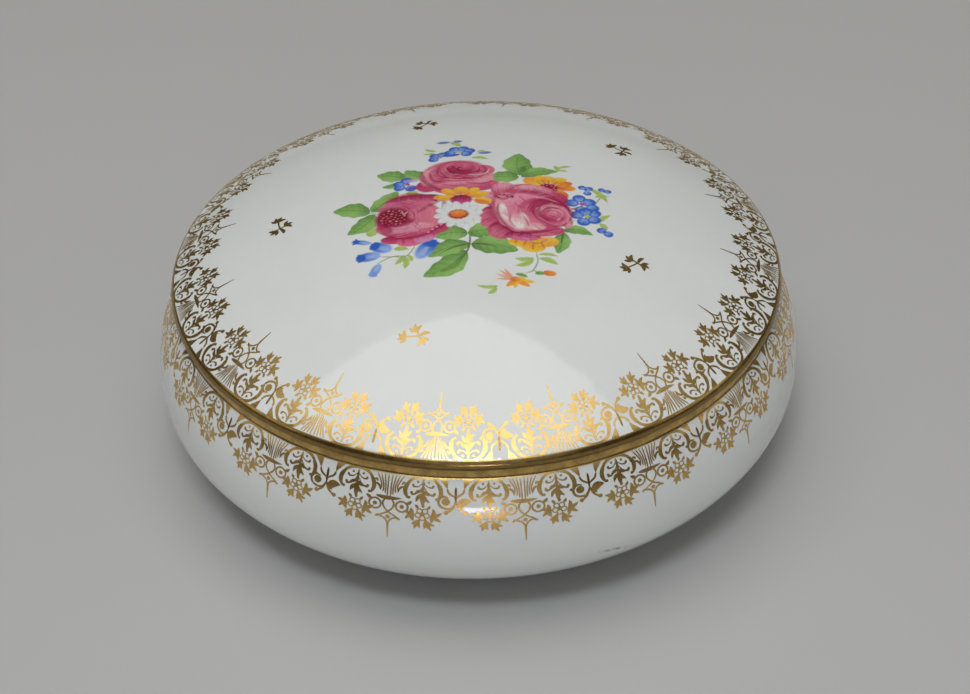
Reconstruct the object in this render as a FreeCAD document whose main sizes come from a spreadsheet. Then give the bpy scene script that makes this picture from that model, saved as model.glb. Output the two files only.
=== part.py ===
import FreeCAD, Part
import math
import os

import Sketcher
from FreeCAD import Vector

# A round porcelain trinket box: a squat, full-bellied bowl and a low domed lid that lifts off.
#
# Both pieces are turned forms, so each one is a PartDesign body with a single revolved profile and filleted
# edges. The row frame has its origin on the table at the centre of the foot, with +Z up. Sizes are millimetres.

# Driving dimensions: alias, value in millimetres or degrees, what it is.
DIMENSIONS = [
    ("seat_height", 46.5, "top of the bowl's rim above the table"),
    ("seat_gap", 0.1, "air between the bowl's rim and the resting lid"),
    ("wall", 3.8, "thickness of the bowl's wall"),
    ("foot_outer_radius", 46.0, "outside of the unglazed foot ring"),
    ("foot_inner_radius", 42.5, "inside of the foot ring"),
    ("foot_recess", 1.3, "height of the underside inside the foot ring"),
    ("belly_width", 80.2, "radius of the bowl at its widest"),
    ("belly_height", 23.8, "height of the widest place above the table"),
    ("shoulder_curve", 35.0, "radius of the arc above the belly"),
    ("shoulder_sweep", 30.0, "angle that it turns"),
    ("brim_curve", 7.6, "radius of the tighter arc from there in to the gilded rim"),
    ("belly_curve", 12.0, "radius of the arc just below the belly"),
    ("belly_sweep", 30.0, "angle that the arc below the belly turns"),
    ("under_curve", 21.0, "radius of the arc below that one"),
    ("under_sweep", 30.0, "angle that it turns"),
    ("base_curve", 64.1, "radius of the arc that runs in to the foot"),
    ("rim_radius", 73.9, "outside of the bowl's gilded rim"),
    ("mouth_radius", 68.2, "inside of the bowl's rim"),
    ("lid_radius", 75.0, "outside of the lid's gilded edge"),
    ("lid_rise", 18.9, "top of the lid above its seat"),
    ("lid_wall", 3.8, "thickness of the lid's dome"),
    ("crown_curve", 227.0, "radius of the arc over the middle of the lid"),
    ("crown_reach", 37.5, "distance from the axis to the end of that arc"),
    ("dome_curve", 108.6, "radius of the next arc outwards"),
    ("dome_reach", 63.75, "distance from the axis to the end of that arc"),
    ("brow_curve", 73.4, "radius of the arc that falls to the lid's edge"),
    ("edge_curve", 2.4, "radius of the roll between the dome and the upright edge"),
    ("flange_outer_radius", 67.2, "outside of the ring that locates the lid in the mouth"),
    ("flange_inner_radius", 64.2, "inside of that ring"),
    ("flange_depth", 4.5, "how far the ring reaches below the lid's seat"),
    ("rim_fillet", 0.5, "softening of the rims and of the foot"),
    ("flange_fillet", 0.8, "softening of the ring's lower edges"),
]

doc = FreeCAD.newDocument("trinket_box")
sheet = doc.addObject("Spreadsheet::Sheet", "Dimensions")
for row, (alias, value, meaning) in enumerate(DIMENSIONS, start=1):
    sheet.set(f"A{row}", alias)
    sheet.set(f"B{row}", str(value))
    sheet.setAlias(f"B{row}", alias)
    sheet.set(f"C{row}", meaning)
doc.recompute()

size = {alias: float(sheet.get(alias)) for alias, _, _ in DIMENSIONS}
START, END, CENTRE = 1, 2, 3
ORIGIN = (-1, 1)


class Profile:
    """A closed outline in the XZ plane of a body, drawn segment after segment and then bound to the sheet."""

    def __init__(self, body, name, start):
        self.body = body
        self.sketch = body.newObject("Sketcher::SketchObject", name)
        plane = next(o for o in body.Origin.OriginFeatures if o.Role == "XZ_Plane")
        self.sketch.AttachmentSupport = [(plane, "")]
        self.sketch.MapMode = "FlatFace"
        self.first = self.last = Vector(start[0], start[1], 0)
        # Which end of each segment comes first on the way round, as Sketcher numbers ends.
        self.ends = []

    def line(self, x, z):
        end = Vector(x, z, 0)
        index = self.sketch.addGeometry(Part.LineSegment(self.last, end), False)
        self.last = end
        self.ends.append((START, END))
        return index

    def arc(self, centre, x, z, clockwise=False):
        """Sketcher keeps every arc anticlockwise, so a clockwise one is entered at its END."""
        middle, end = Vector(centre[0], centre[1], 0), Vector(x, z, 0)
        radius = (self.last - middle).Length
        a, b = (math.atan2(p.y - middle.y, p.x - middle.x) for p in (self.last, end))
        if clockwise:
            a, b = b, a
        circle = Part.Circle(middle, Vector(0, 0, 1), radius)
        index = self.sketch.addGeometry(Part.ArcOfCircle(circle, a, b), False)
        self.last = end
        self.ends.append((END, START) if clockwise else (START, END))
        return index

    def fix(self, kind, *where):
        return self.sketch.addConstraint(Sketcher.Constraint(kind, *where))

    def join(self, smooth=()):
        """Joins each segment to the next one; the pairs in smooth also share their tangent."""
        count = len(self.ends)
        for i in range(count):
            j = (i + 1) % count
            kind = "Tangent" if (i, j) in smooth else "Coincident"
            self.fix(kind, i, self.ends[i][1], j, self.ends[j][0])

    def bind(self, kind, expression, value, *where):
        """A dimension whose value is an expression over the sheet's cells."""
        index = self.fix(kind, *where, value)
        self.sketch.setExpression(f"Constraints[{index}]", expression)

    def width(self, segment, end, expression, value):
        self.bind("DistanceX", expression, value, *ORIGIN, segment, end)

    def height(self, segment, end, expression, value):
        self.bind("DistanceY", expression, value, *ORIGIN, segment, end)

    def revolve(self, name):
        doc.recompute()
        if self.sketch.solve() != 0:
            raise RuntimeError(f"{self.sketch.Name}: its constraints can't be solved")
        turned = self.body.newObject("PartDesign::Revolution", name)
        turned.Profile = self.sketch
        turned.ReferenceAxis = (self.sketch, ["V_Axis"])
        turned.Angle = 360
        self.sketch.Visibility = False
        doc.recompute()
        return turned


def soften(body, base, name, places, expression):
    """Fillets the round edges of base at the given (radius, height) places."""
    found = []
    for radius, height in places:
        for i, edge in enumerate(base.Shape.Edges, start=1):
            # The pole of a dome has an edge of no length, and that has no curve.
            if edge.Degenerated:
                continue
            curve = edge.Curve
            if not isinstance(curve, Part.Circle):
                continue
            if abs(curve.Radius - radius) < 1e-4 and abs(curve.Center.z - height) < 1e-4:
                found.append(f"Edge{i}")
    if len(found) != len(places):
        raise RuntimeError(f"{name}: {len(found)} of {len(places)} edges found")
    fillet = body.newObject("PartDesign::Fillet", name)
    fillet.Base = (base, found)
    fillet.setExpression("Radius", expression)
    doc.recompute()
    return fillet


def polar(centre, radius, degrees):
    angle = math.radians(degrees)
    return centre[0] + radius * math.cos(angle), centre[1] + radius * math.sin(angle)


def towards(centre, radius, point):
    """The point at radius from centre on the ray through another point."""
    angle = math.degrees(math.atan2(point[1] - centre[1], point[0] - centre[0]))
    return polar(centre, radius, angle)


def on_arc(centre, radius, x, side):
    """The point of a circle at distance x from the axis, above (side 1) or below (side -1) its centre."""
    return x, centre[1] + side * math.sqrt(radius**2 - (x - centre[0]) ** 2)


def make_bowl():
    s = size
    body = doc.addObject("PartDesign::Body", "bowl")
    body.Label = "bowl"

    # Five arcs make the outside, each one tangent to the next, from the rim down to the foot.
    belly = (s["belly_width"], s["belly_height"])
    shoulder_c = (belly[0] - s["shoulder_curve"], belly[1])
    shoulder_end = polar(shoulder_c, s["shoulder_curve"], s["shoulder_sweep"])
    brim_c = polar(shoulder_end, s["brim_curve"], s["shoulder_sweep"] + 180)
    rim_base = on_arc(brim_c, s["brim_curve"], s["rim_radius"], 1)
    belly_c = (belly[0] - s["belly_curve"], belly[1])
    turn = -s["belly_sweep"]
    belly_end = polar(belly_c, s["belly_curve"], turn)
    under_c = polar(belly_end, s["under_curve"], turn + 180)
    turn -= s["under_sweep"]
    under_end = polar(under_c, s["under_curve"], turn)
    base_c = polar(under_end, s["base_curve"], turn + 180)
    foot_top = on_arc(base_c, s["base_curve"], s["foot_outer_radius"], -1)

    # The inside is the same arcs, one wall thickness in.
    wall = s["wall"]
    lip = on_arc(brim_c, s["brim_curve"] - wall, s["mouth_radius"], 1)
    inner_shoulder_end = towards(brim_c, s["brim_curve"] - wall, shoulder_end)
    inner_belly = (belly[0] - wall, belly[1])
    inner_belly_end = towards(belly_c, s["belly_curve"] - wall, belly_end)
    inner_under_end = towards(under_c, s["under_curve"] - wall, under_end)
    floor = (base_c[0], base_c[1] - s["base_curve"] + wall)

    p = Profile(body, "bowl_profile", (0, s["foot_recess"]))
    underside = p.line(s["foot_inner_radius"], s["foot_recess"])
    p.line(s["foot_inner_radius"], 0)
    foot = p.line(s["foot_outer_radius"], 0)
    p.line(*foot_top)
    base = p.arc(base_c, *under_end)
    under = p.arc(under_c, *belly_end)
    below = p.arc(belly_c, *belly)
    shoulder = p.arc(shoulder_c, *shoulder_end)
    brim = p.arc(brim_c, *rim_base)
    band = p.line(s["rim_radius"], s["seat_height"])
    seat = p.line(s["mouth_radius"], s["seat_height"])
    mouth = p.line(*lip)
    in_brim = p.arc(brim_c, *inner_shoulder_end, clockwise=True)
    in_shoulder = p.arc(shoulder_c, *inner_belly, clockwise=True)
    in_below = p.arc(belly_c, *inner_belly_end, clockwise=True)
    in_under = p.arc(under_c, *inner_under_end, clockwise=True)
    in_base = p.arc(base_c, *floor, clockwise=True)
    inside = p.line(0, floor[1])
    axis = p.line(0, s["foot_recess"])

    p.join(
        smooth=[
            (base, under),
            (under, below),
            (below, shoulder),
            (shoulder, brim),
            (in_brim, in_shoulder),
            (in_shoulder, in_below),
            (in_below, in_under),
            (in_under, in_base),
            (in_base, inside),
        ]
    )
    for level in (underside, foot, seat, inside):
        p.fix("Horizontal", level)
    for upright in (underside + 1, foot + 1, band, mouth, axis):
        p.fix("Vertical", upright)
    p.fix("PointOnObject", axis, END, -2)
    p.fix("Horizontal", below, END, below, CENTRE)
    walls = [(brim, in_brim), (shoulder, in_shoulder), (below, in_below), (under, in_under), (base, in_base)]
    for outer, inner in walls:
        p.fix("Coincident", outer, CENTRE, inner, CENTRE)

    p.height(underside, START, "Dimensions.foot_recess", s["foot_recess"])
    p.width(underside, END, "Dimensions.foot_inner_radius", s["foot_inner_radius"])
    p.fix("PointOnObject", foot, START, -1)
    p.width(foot, END, "Dimensions.foot_outer_radius", s["foot_outer_radius"])
    p.width(below, END, "Dimensions.belly_width", belly[0])
    p.height(below, END, "Dimensions.belly_height", belly[1])
    p.width(band, END, "Dimensions.rim_radius", s["rim_radius"])
    p.height(band, END, "Dimensions.seat_height", s["seat_height"])
    p.width(mouth, START, "Dimensions.mouth_radius", s["mouth_radius"])
    p.bind("Radius", "Dimensions.brim_curve", s["brim_curve"], brim)
    p.bind("Radius", "Dimensions.shoulder_curve", s["shoulder_curve"], shoulder)
    p.bind("Angle", "Dimensions.shoulder_sweep * 1 deg", math.radians(s["shoulder_sweep"]), shoulder)
    p.bind("Radius", "Dimensions.belly_curve", s["belly_curve"], below)
    p.bind("Radius", "Dimensions.under_curve", s["under_curve"], under)
    p.bind("Radius", "Dimensions.base_curve", s["base_curve"], base)
    p.bind("Angle", "Dimensions.belly_sweep * 1 deg", math.radians(s["belly_sweep"]), below)
    p.bind("Angle", "Dimensions.under_sweep * 1 deg", math.radians(s["under_sweep"]), under)
    p.bind(
        "Radius",
        "Dimensions.shoulder_curve - Dimensions.wall",
        s["shoulder_curve"] - wall,
        in_shoulder,
    )
    turned = p.revolve("bowl_turning")
    places = [
        (s["rim_radius"], s["seat_height"]),
        (s["mouth_radius"], s["seat_height"]),
        (s["foot_outer_radius"], 0),
        (s["foot_inner_radius"], 0),
    ]
    soften(body, turned, "bowl_softening", places, "Dimensions.rim_fillet")
    return body


def make_lid():
    s = size
    body = doc.addObject("PartDesign::Body", "lid")
    body.Label = "lid"
    seat_z = s["seat_height"] + s["seat_gap"]
    top = seat_z + s["lid_rise"]

    # Three arcs fall from the middle of the lid to its edge, steeper as they go.
    crown_c = (0, top - s["crown_curve"])
    crown_end = on_arc(crown_c, s["crown_curve"], s["crown_reach"], 1)
    dome_c = towards(crown_end, s["dome_curve"], crown_c)
    dome_end = on_arc(dome_c, s["dome_curve"], s["dome_reach"], 1)
    brow_c = towards(dome_end, s["brow_curve"], dome_c)

    # The small roll touches the last arc from inside and the upright edge.
    roll_x = s["lid_radius"] - s["edge_curve"]
    roll_c = on_arc(brow_c, s["brow_curve"] - s["edge_curve"], roll_x, 1)
    roll_start = (s["lid_radius"], roll_c[1])
    roll_end = towards(brow_c, s["brow_curve"], roll_c)

    # The underside follows the two inner arcs as far as the locating ring.
    wall = s["lid_wall"]
    ceiling = top - wall
    in_crown_end = towards(crown_c, s["crown_curve"] - wall, crown_end)
    in_dome_end = on_arc(dome_c, s["dome_curve"] - wall, s["flange_inner_radius"], 1)
    tip_z = seat_z - s["flange_depth"]

    p = Profile(body, "lid_profile", (0, ceiling))
    in_crown = p.arc(crown_c, *in_crown_end, clockwise=True)
    in_dome = p.arc(dome_c, *in_dome_end, clockwise=True)
    ring_in = p.line(s["flange_inner_radius"], tip_z)
    ring_tip = p.line(s["flange_outer_radius"], tip_z)
    ring_out = p.line(s["flange_outer_radius"], seat_z)
    seat = p.line(s["lid_radius"], seat_z)
    edge = p.line(*roll_start)
    roll = p.arc(roll_c, *roll_end)
    brow = p.arc(brow_c, *dome_end)
    dome = p.arc(dome_c, *crown_end)
    crown = p.arc(crown_c, 0, top)
    axis = p.line(0, ceiling)

    p.join(
        smooth=[
            (in_crown, in_dome),
            (edge, roll),
            (roll, brow),
            (brow, dome),
            (dome, crown),
        ]
    )
    for level in (ring_tip, seat):
        p.fix("Horizontal", level)
    for upright in (ring_in, ring_out, edge, axis):
        p.fix("Vertical", upright)
    p.fix("PointOnObject", axis, END, -2)
    p.fix("PointOnObject", crown, CENTRE, -2)
    for outer, inner in ((crown, in_crown), (dome, in_dome)):
        p.fix("Coincident", outer, CENTRE, inner, CENTRE)

    seat_at = "(Dimensions.seat_height + Dimensions.seat_gap)"
    p.height(seat, END, seat_at, seat_z)
    p.width(seat, END, "Dimensions.lid_radius", s["lid_radius"])
    p.height(axis, START, f"{seat_at} + Dimensions.lid_rise", top)
    p.height(ring_tip, START, f"{seat_at} - Dimensions.flange_depth", tip_z)
    p.width(ring_tip, START, "Dimensions.flange_inner_radius", s["flange_inner_radius"])
    p.width(ring_tip, END, "Dimensions.flange_outer_radius", s["flange_outer_radius"])
    p.width(dome, END, "Dimensions.crown_reach", s["crown_reach"])
    p.width(brow, END, "Dimensions.dome_reach", s["dome_reach"])
    p.bind("Radius", "Dimensions.crown_curve", s["crown_curve"], crown)
    p.bind("Radius", "Dimensions.dome_curve", s["dome_curve"], dome)
    p.bind("Radius", "Dimensions.brow_curve", s["brow_curve"], brow)
    p.bind("Radius", "Dimensions.edge_curve", s["edge_curve"], roll)
    p.bind(
        "Radius",
        "Dimensions.crown_curve - Dimensions.lid_wall",
        s["crown_curve"] - wall,
        in_crown,
    )
    turned = p.revolve("lid_turning")
    places = [(s["flange_inner_radius"], tip_z), (s["flange_outer_radius"], tip_z)]
    ring = soften(body, turned, "lid_ring_softening", places, "Dimensions.flange_fillet")
    soften(body, ring, "lid_edge_softening", [(s["lid_radius"], seat_z)], "Dimensions.rim_fillet")
    return body


pieces = [make_bowl(), make_lid()]
doc.recompute()

for item in doc.Objects:
    if {"Invalid", "Error"} & set(item.State):
        raise RuntimeError(f"{item.Name} failed: {item.State}")

os.makedirs("parts", exist_ok=True)
for piece in pieces:
    if piece.Shape.isNull() or not piece.Shape.isValid() or len(piece.Shape.Solids) != 1:
        raise RuntimeError(f"{piece.Label} isn't one valid solid")
    piece.Shape.exportStep(f"parts/{piece.Label}.step")
    box = piece.Shape.BoundBox
    print(f"{piece.Label}: {piece.Shape.Volume / 1000:.1f} cm3, z {box.ZMin:.2f} to {box.ZMax:.2f}")
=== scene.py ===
import math

import bmesh
import bpy
import numpy as np
from mathutils import Matrix, Vector


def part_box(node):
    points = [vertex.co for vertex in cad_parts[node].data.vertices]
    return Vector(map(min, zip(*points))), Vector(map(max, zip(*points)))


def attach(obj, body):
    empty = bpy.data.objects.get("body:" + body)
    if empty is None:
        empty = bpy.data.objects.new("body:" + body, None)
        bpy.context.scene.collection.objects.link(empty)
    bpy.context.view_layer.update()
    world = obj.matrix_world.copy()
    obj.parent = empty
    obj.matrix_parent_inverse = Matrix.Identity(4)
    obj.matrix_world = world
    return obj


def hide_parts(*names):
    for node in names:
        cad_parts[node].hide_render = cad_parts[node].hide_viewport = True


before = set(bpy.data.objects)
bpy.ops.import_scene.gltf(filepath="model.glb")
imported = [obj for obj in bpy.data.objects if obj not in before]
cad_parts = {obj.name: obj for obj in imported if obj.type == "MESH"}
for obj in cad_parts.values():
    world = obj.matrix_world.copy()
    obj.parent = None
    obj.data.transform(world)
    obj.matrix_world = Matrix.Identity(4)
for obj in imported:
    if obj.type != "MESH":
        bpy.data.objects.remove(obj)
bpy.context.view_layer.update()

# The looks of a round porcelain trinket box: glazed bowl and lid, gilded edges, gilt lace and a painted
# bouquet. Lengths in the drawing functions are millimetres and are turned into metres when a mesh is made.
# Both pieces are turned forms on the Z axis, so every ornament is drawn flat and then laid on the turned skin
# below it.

MM = 0.001
TURNS = 384

# ---------------------------------------------------------------- the turned forms, in the frame's own sizes

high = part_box("bowl")[1]
SEAT = high[2] / MM
BELLY_WIDTH = 80.2
BELLY_HEIGHT = 23.8
WALL = 3.8
RIM = 73.9
MOUTH = 68.2
FOOT_OUT, FOOT_IN, FOOT_RECESS = 46.0, 42.5, 1.3
LID_SEAT = SEAT + 0.1
LID_RADIUS = 75.0
LID_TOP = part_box("lid")[1][2] / MM
LID_WALL = 3.8
FLANGE_OUT, FLANGE_IN, FLANGE_DEPTH = 67.2, 64.2, 4.5
ROLL = 2.4
LID_CORNER = 0.55
REPEATS = 16


def polar(centre, radius, degrees):
    angle = math.radians(degrees)
    return centre[0] + radius * math.cos(angle), centre[1] + radius * math.sin(angle)


def heading(centre, point):
    return math.degrees(math.atan2(point[1] - centre[1], point[0] - centre[0]))


def on_arc(centre, radius, x, side=1):
    return x, centre[1] + side * math.sqrt(radius**2 - (x - centre[0]) ** 2)


def arc(centre, radius, start, end, step=0.5):
    """Points of an arc between two angles in degrees, about step millimetres apart."""
    count = max(3, int(abs(math.radians(end - start)) * radius / step) + 1)
    return [polar(centre, radius, start + (end - start) * i / count) for i in range(count + 1)]


def join(*runs):
    """One outline from several runs of points, without the points where two runs meet twice."""
    out = []
    for run in runs:
        for point in run:
            if not out or math.dist(point, out[-1]) > 1e-4:
                out.append(point)
    return out


class Bowl:
    """The bowl's arcs from the gilded rim down to the foot, as centre, radius and the two angles."""

    shoulder = ((BELLY_WIDTH - 35.0, BELLY_HEIGHT), 35.0, 30.0, 0.0)
    shoulder_end = polar(*shoulder[:3])
    brim_centre = polar(shoulder_end, 7.6, 210)
    crease = on_arc(brim_centre, 7.6, RIM)
    brim = (brim_centre, 7.6, heading(brim_centre, crease), 30.0)
    belly_centre = (BELLY_WIDTH - 12.0, BELLY_HEIGHT)
    belly = (belly_centre, 12.0, 0.0, -30.0)
    belly_end = polar(belly_centre, 12.0, -30)
    under_centre = polar(belly_end, 21.0, 150)
    under = (under_centre, 21.0, -30.0, -60.0)
    under_end = polar(under_centre, 21.0, -60)
    base_centre = polar(under_end, 64.1, 120)
    foot_top = on_arc(base_centre, 64.1, FOOT_OUT, -1)
    base = (base_centre, 64.1, -60.0, heading(base_centre, foot_top))
    arcs = (brim, shoulder, belly, under, base)

    @classmethod
    def outside(cls):
        return join(*(arc(*a) for a in cls.arcs))

    @classmethod
    def inside(cls):
        """The same arcs one wall in, from the floor up to the mouth."""
        lip = on_arc(cls.brim_centre, 7.6 - WALL, MOUTH)
        runs = []
        for centre, radius, start, end in reversed(cls.arcs):
            start = heading(cls.brim_centre, lip) if centre == cls.brim_centre else start
            end = -90.0 if centre == cls.base_centre else end
            runs.append(arc(centre, radius - WALL, end, start))
        return join(*runs)


class Lid:
    """The lid's arcs from the middle out to the edge."""

    crown_centre = (0.0, LID_TOP - 227.0)
    crown_end = on_arc(crown_centre, 227.0, 37.5)
    dome_centre = polar(crown_end, 108.6, heading(crown_end, crown_centre))
    dome_end = on_arc(dome_centre, 108.6, 63.75)
    brow_centre = polar(dome_end, 73.4, heading(dome_end, dome_centre))
    roll_centre = on_arc(brow_centre, 73.4 - ROLL, LID_RADIUS - ROLL)
    roll_top = heading(brow_centre, roll_centre)

    @classmethod
    def roll(cls, start, end):
        return arc(cls.roll_centre, ROLL, start, end, 0.12)

    @classmethod
    def corner(cls):
        """The rounding between the upright band and the seat."""
        return arc((LID_RADIUS - LID_CORNER, LID_SEAT + LID_CORNER), LID_CORNER, 0, -90, 0.12)

    @classmethod
    def outside(cls):
        """From the axis to the top of the rolled edge."""
        dome_start = heading(cls.dome_centre, cls.crown_end)
        return join(
            arc(cls.crown_centre, 227.0, 90.0, heading(cls.crown_centre, cls.crown_end)),
            arc(cls.dome_centre, 108.6, dome_start, heading(cls.dome_centre, cls.dome_end)),
            arc(cls.brow_centre, 73.4, heading(cls.brow_centre, cls.dome_end), cls.roll_top),
        )

    @classmethod
    def inside(cls):
        """From the locating ring in to the axis."""
        ring = on_arc(cls.dome_centre, 108.6 - LID_WALL, FLANGE_IN)
        end = heading(cls.dome_centre, cls.crown_end)
        return join(
            arc(cls.dome_centre, 108.6 - LID_WALL, heading(cls.dome_centre, ring), end),
            arc(cls.crown_centre, 227.0 - LID_WALL, heading(cls.crown_centre, cls.crown_end), 90.0),
        )


class Skin:
    """A turned surface that ornament is laid on: r and z by the distance s along its outline."""

    def __init__(self, outline):
        points = np.array(outline, float)
        steps = np.diff(points, axis=0)
        self.s = np.concatenate([[0.0], np.cumsum(np.hypot(steps[:, 0], steps[:, 1]))])
        self.points = points
        along = np.gradient(points, self.s, axis=0)
        along /= np.linalg.norm(along, axis=1)[:, None]
        normal = np.stack([-along[:, 1], along[:, 0]], 1)
        # The outside is away from the axis, or up near the middle of the lid.
        middle = len(points) // 2
        if normal[middle] @ (points[middle] - np.array([0.0, 20.0])) < 0:
            normal = -normal
        self.normal = normal

    def place(self, s, azimuth, height):
        """Points in millimetres for arrays of distance, azimuth in radians and height above the surface."""
        r, z = (np.interp(s, self.s, self.points[:, i]) for i in (0, 1))
        nr, nz = (np.interp(s, self.s, self.normal[:, i]) for i in (0, 1))
        r = r + nr * height
        return np.stack([r * np.cos(azimuth), r * np.sin(azimuth), z + nz * height], -1)


# ---------------------------------------------------------------- mesh helpers


def make_object(name, verts, faces, sharp=None):
    """A smooth-shaded object from vertices in millimetres; faces is a list or an array of quads."""
    mesh = bpy.data.meshes.new(name)
    mesh.from_pydata(np.asarray(verts, float) * MM, [], [list(map(int, f)) for f in faces])
    mesh.validate()
    mesh.polygons.foreach_set("use_smooth", [True] * len(mesh.polygons))
    if sharp:
        mesh.set_sharp_from_angle(angle=math.radians(sharp))
    obj = bpy.data.objects.new(name, mesh)
    bpy.context.scene.collection.objects.link(obj)
    return obj


def finish_piece(obj, body, slot, *materials):
    for material in materials:
        obj.data.materials.append(material)
    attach(obj, body)
    return obj


# Edges of a turned form sharper than this, in degrees, aren't shaded smooth.
TURNED_SHARP = 35


def turned(name, outline):
    """A solid of revolution from an outline of (r, z) points; points on the axis become a single pole."""
    verts, rings = [], []
    angles = np.linspace(0, 2 * math.pi, TURNS, endpoint=False)
    for r, z in outline:
        if r < 1e-4:
            rings.append([len(verts)] * TURNS)
            verts.append((0.0, 0.0, z))
        else:
            rings.append(list(range(len(verts), len(verts) + TURNS)))
            verts.extend((r * math.cos(a), r * math.sin(a), z) for a in angles)
    faces = []
    for inner, outer in zip(rings, rings[1:] + rings[:1]):
        if inner[0] == inner[1] and outer[0] == outer[1]:
            continue
        for i in range(TURNS):
            j = (i + 1) % TURNS
            corners = [inner[i], outer[i], outer[j], inner[j]]
            face = [c for k, c in enumerate(corners) if c != corners[k - 1]]
            faces.append(face)
    obj = make_object(name, verts, faces)
    mesh = bmesh.new()
    mesh.from_mesh(obj.data)
    bmesh.ops.recalc_face_normals(mesh, faces=mesh.faces)
    mesh.to_mesh(obj.data)
    mesh.free()
    obj.data.set_sharp_from_angle(angle=math.radians(TURNED_SHARP))
    return obj


# ---------------------------------------------------------------- materials


class Nodes:
    """Short hand for a Principled material and the nodes that feed it."""

    def __init__(self, name):
        self.material = bpy.data.materials.new(name)
        self.material.use_nodes = True
        self.tree = self.material.node_tree
        self.shader = self.tree.nodes["Principled BSDF"]
        self.where = self.tree.nodes.new("ShaderNodeTexCoord").outputs["Object"]

    def add(self, kind, inputs=None, **settings):
        node = self.tree.nodes.new(kind)
        for key, value in settings.items():
            setattr(node, key, value)
        for key, value in (inputs or {}).items():
            if isinstance(value, bpy.types.NodeSocket):
                self.tree.links.new(value, node.inputs[key])
            else:
                node.inputs[key].default_value = value
        return node

    def noise(self, scale, detail=3.0, roughness=0.5):
        inputs = {"Vector": self.where, "Scale": scale, "Detail": detail, "Roughness": roughness}
        return self.add("ShaderNodeTexNoise", inputs).outputs["Fac"]

    def spread(self, value, low_in, high_in, low_out, high_out):
        inputs = {
            "Value": value,
            "From Min": low_in,
            "From Max": high_in,
            "To Min": low_out,
            "To Max": high_out,
        }
        return self.add("ShaderNodeMapRange", inputs).outputs["Result"]

    def mix(self, factor, first, second):
        node = self.add("ShaderNodeMix", data_type="RGBA")
        for key, value in ((0, factor), (6, first), (7, second)):
            if isinstance(value, bpy.types.NodeSocket):
                self.tree.links.new(value, node.inputs[key])
            else:
                node.inputs[key].default_value = value
        return node.outputs[2]

    def bump(self, height, distance, strength=1.0):
        inputs = {"Height": height, "Distance": distance, "Strength": strength}
        normal = self.add("ShaderNodeBump", inputs).outputs["Normal"]
        self.tree.links.new(normal, self.shader.inputs["Normal"])

    def feed(self, **sockets):
        for key, value in sockets.items():
            socket = self.shader.inputs[key.replace("_", " ")]
            if isinstance(value, bpy.types.NodeSocket):
                self.tree.links.new(value, socket)
            else:
                socket.default_value = value


PORCELAIN_LIGHT = (0.79, 0.82, 0.82, 1)
PORCELAIN_SHADE = (0.755, 0.785, 0.79, 1)


def porcelain_colour(n):
    """Cool white with a faint cloudiness, the same wherever the glaze shows."""
    cloud = n.spread(n.noise(28.0, 3.0), 0.35, 0.65, 0.0, 1.0)
    return n.mix(cloud, PORCELAIN_SHADE, PORCELAIN_LIGHT)


def scuffed(n, colour):
    """A faint worn streak low on the front of the bowl, on the right."""
    streak = {"Vector": n.where}
    mapping = n.add("ShaderNodeMapping", streak, vector_type="TEXTURE")
    mapping.inputs["Location"].default_value = np.array((29.8, -73.8, 20.4)) * MM
    mapping.inputs["Rotation"].default_value = (0, math.radians(10), math.radians(26))
    mapping.inputs["Scale"].default_value = np.array((5.0, 2.6, 0.9)) * MM
    reach = n.add("ShaderNodeVectorMath", {0: mapping.outputs[0]}, operation="LENGTH").outputs["Value"]
    worn = n.spread(n.noise(900.0, 4.0, 0.7), 0.45, 0.6, 0.0, 0.75)
    amount = n.add("ShaderNodeMath", {0: n.spread(reach, 0.3, 1.0, 1.0, 0.0), 1: worn}, operation="MULTIPLY")
    return n.mix(amount.outputs[0], colour, (0.24, 0.21, 0.18, 1))


def glaze_gloss(n):
    smudge = n.noise(60.0, 5.0, 0.6)
    n.feed(Roughness=n.spread(smudge, 0.35, 0.75, 0.035, 0.09))


def porcelain_material():
    n = Nodes("porcelain glaze")
    n.feed(IOR=1.5, Base_Color=scuffed(n, porcelain_colour(n)))
    n.feed(Subsurface_Weight=0.08, Subsurface_Scale=0.002)
    glaze_gloss(n)
    n.bump(n.noise(240.0, 2.0), 0.00003)
    return n.material


def bisque_material():
    n = Nodes("bare bisque")
    grain = n.noise(1500.0, 4.0, 0.7)
    n.feed(Base_Color=n.mix(grain, (0.62, 0.60, 0.56, 1), (0.74, 0.72, 0.68, 1)), Roughness=0.8)
    n.bump(grain, 0.00004)
    return n.material


def gold_material(name="fired gold"):
    n = Nodes(name)
    wear = n.spread(n.noise(180.0, 5.0, 0.6), 0.35, 0.7, 0.0, 1.0)
    n.feed(Base_Color=n.mix(wear, (0.62, 0.41, 0.14, 1), (0.74, 0.52, 0.21, 1)), Metallic=1.0)
    n.feed(Roughness=n.spread(n.noise(420.0, 4.0, 0.6), 0.3, 0.7, 0.24, 0.36))
    n.bump(n.noise(2500.0, 2.0), 0.00001, 0.2)
    return n.material


def enamel_material():
    """The colours of the painting, held by the mesh already times their cover, over the glaze."""
    n = Nodes("painted enamel")
    paint = n.add("ShaderNodeAttribute", attribute_name="paint")
    bare = n.mix(paint.outputs["Alpha"], porcelain_colour(n), (0, 0, 0, 1))
    grain = n.spread(n.noise(900.0, 4.0, 0.65), 0.3, 0.7, 0.9, 1.06)
    enamel = n.add("ShaderNodeVectorMath", {0: paint.outputs["Color"], 3: grain}, operation="SCALE")
    both = n.add("ShaderNodeVectorMath", {0: bare, 1: enamel.outputs[0]}, operation="ADD")
    n.feed(IOR=1.5, Base_Color=both.outputs[0])
    glaze_gloss(n)
    n.bump(n.noise(1400.0, 3.0), 0.00001)
    return n.material


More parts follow.
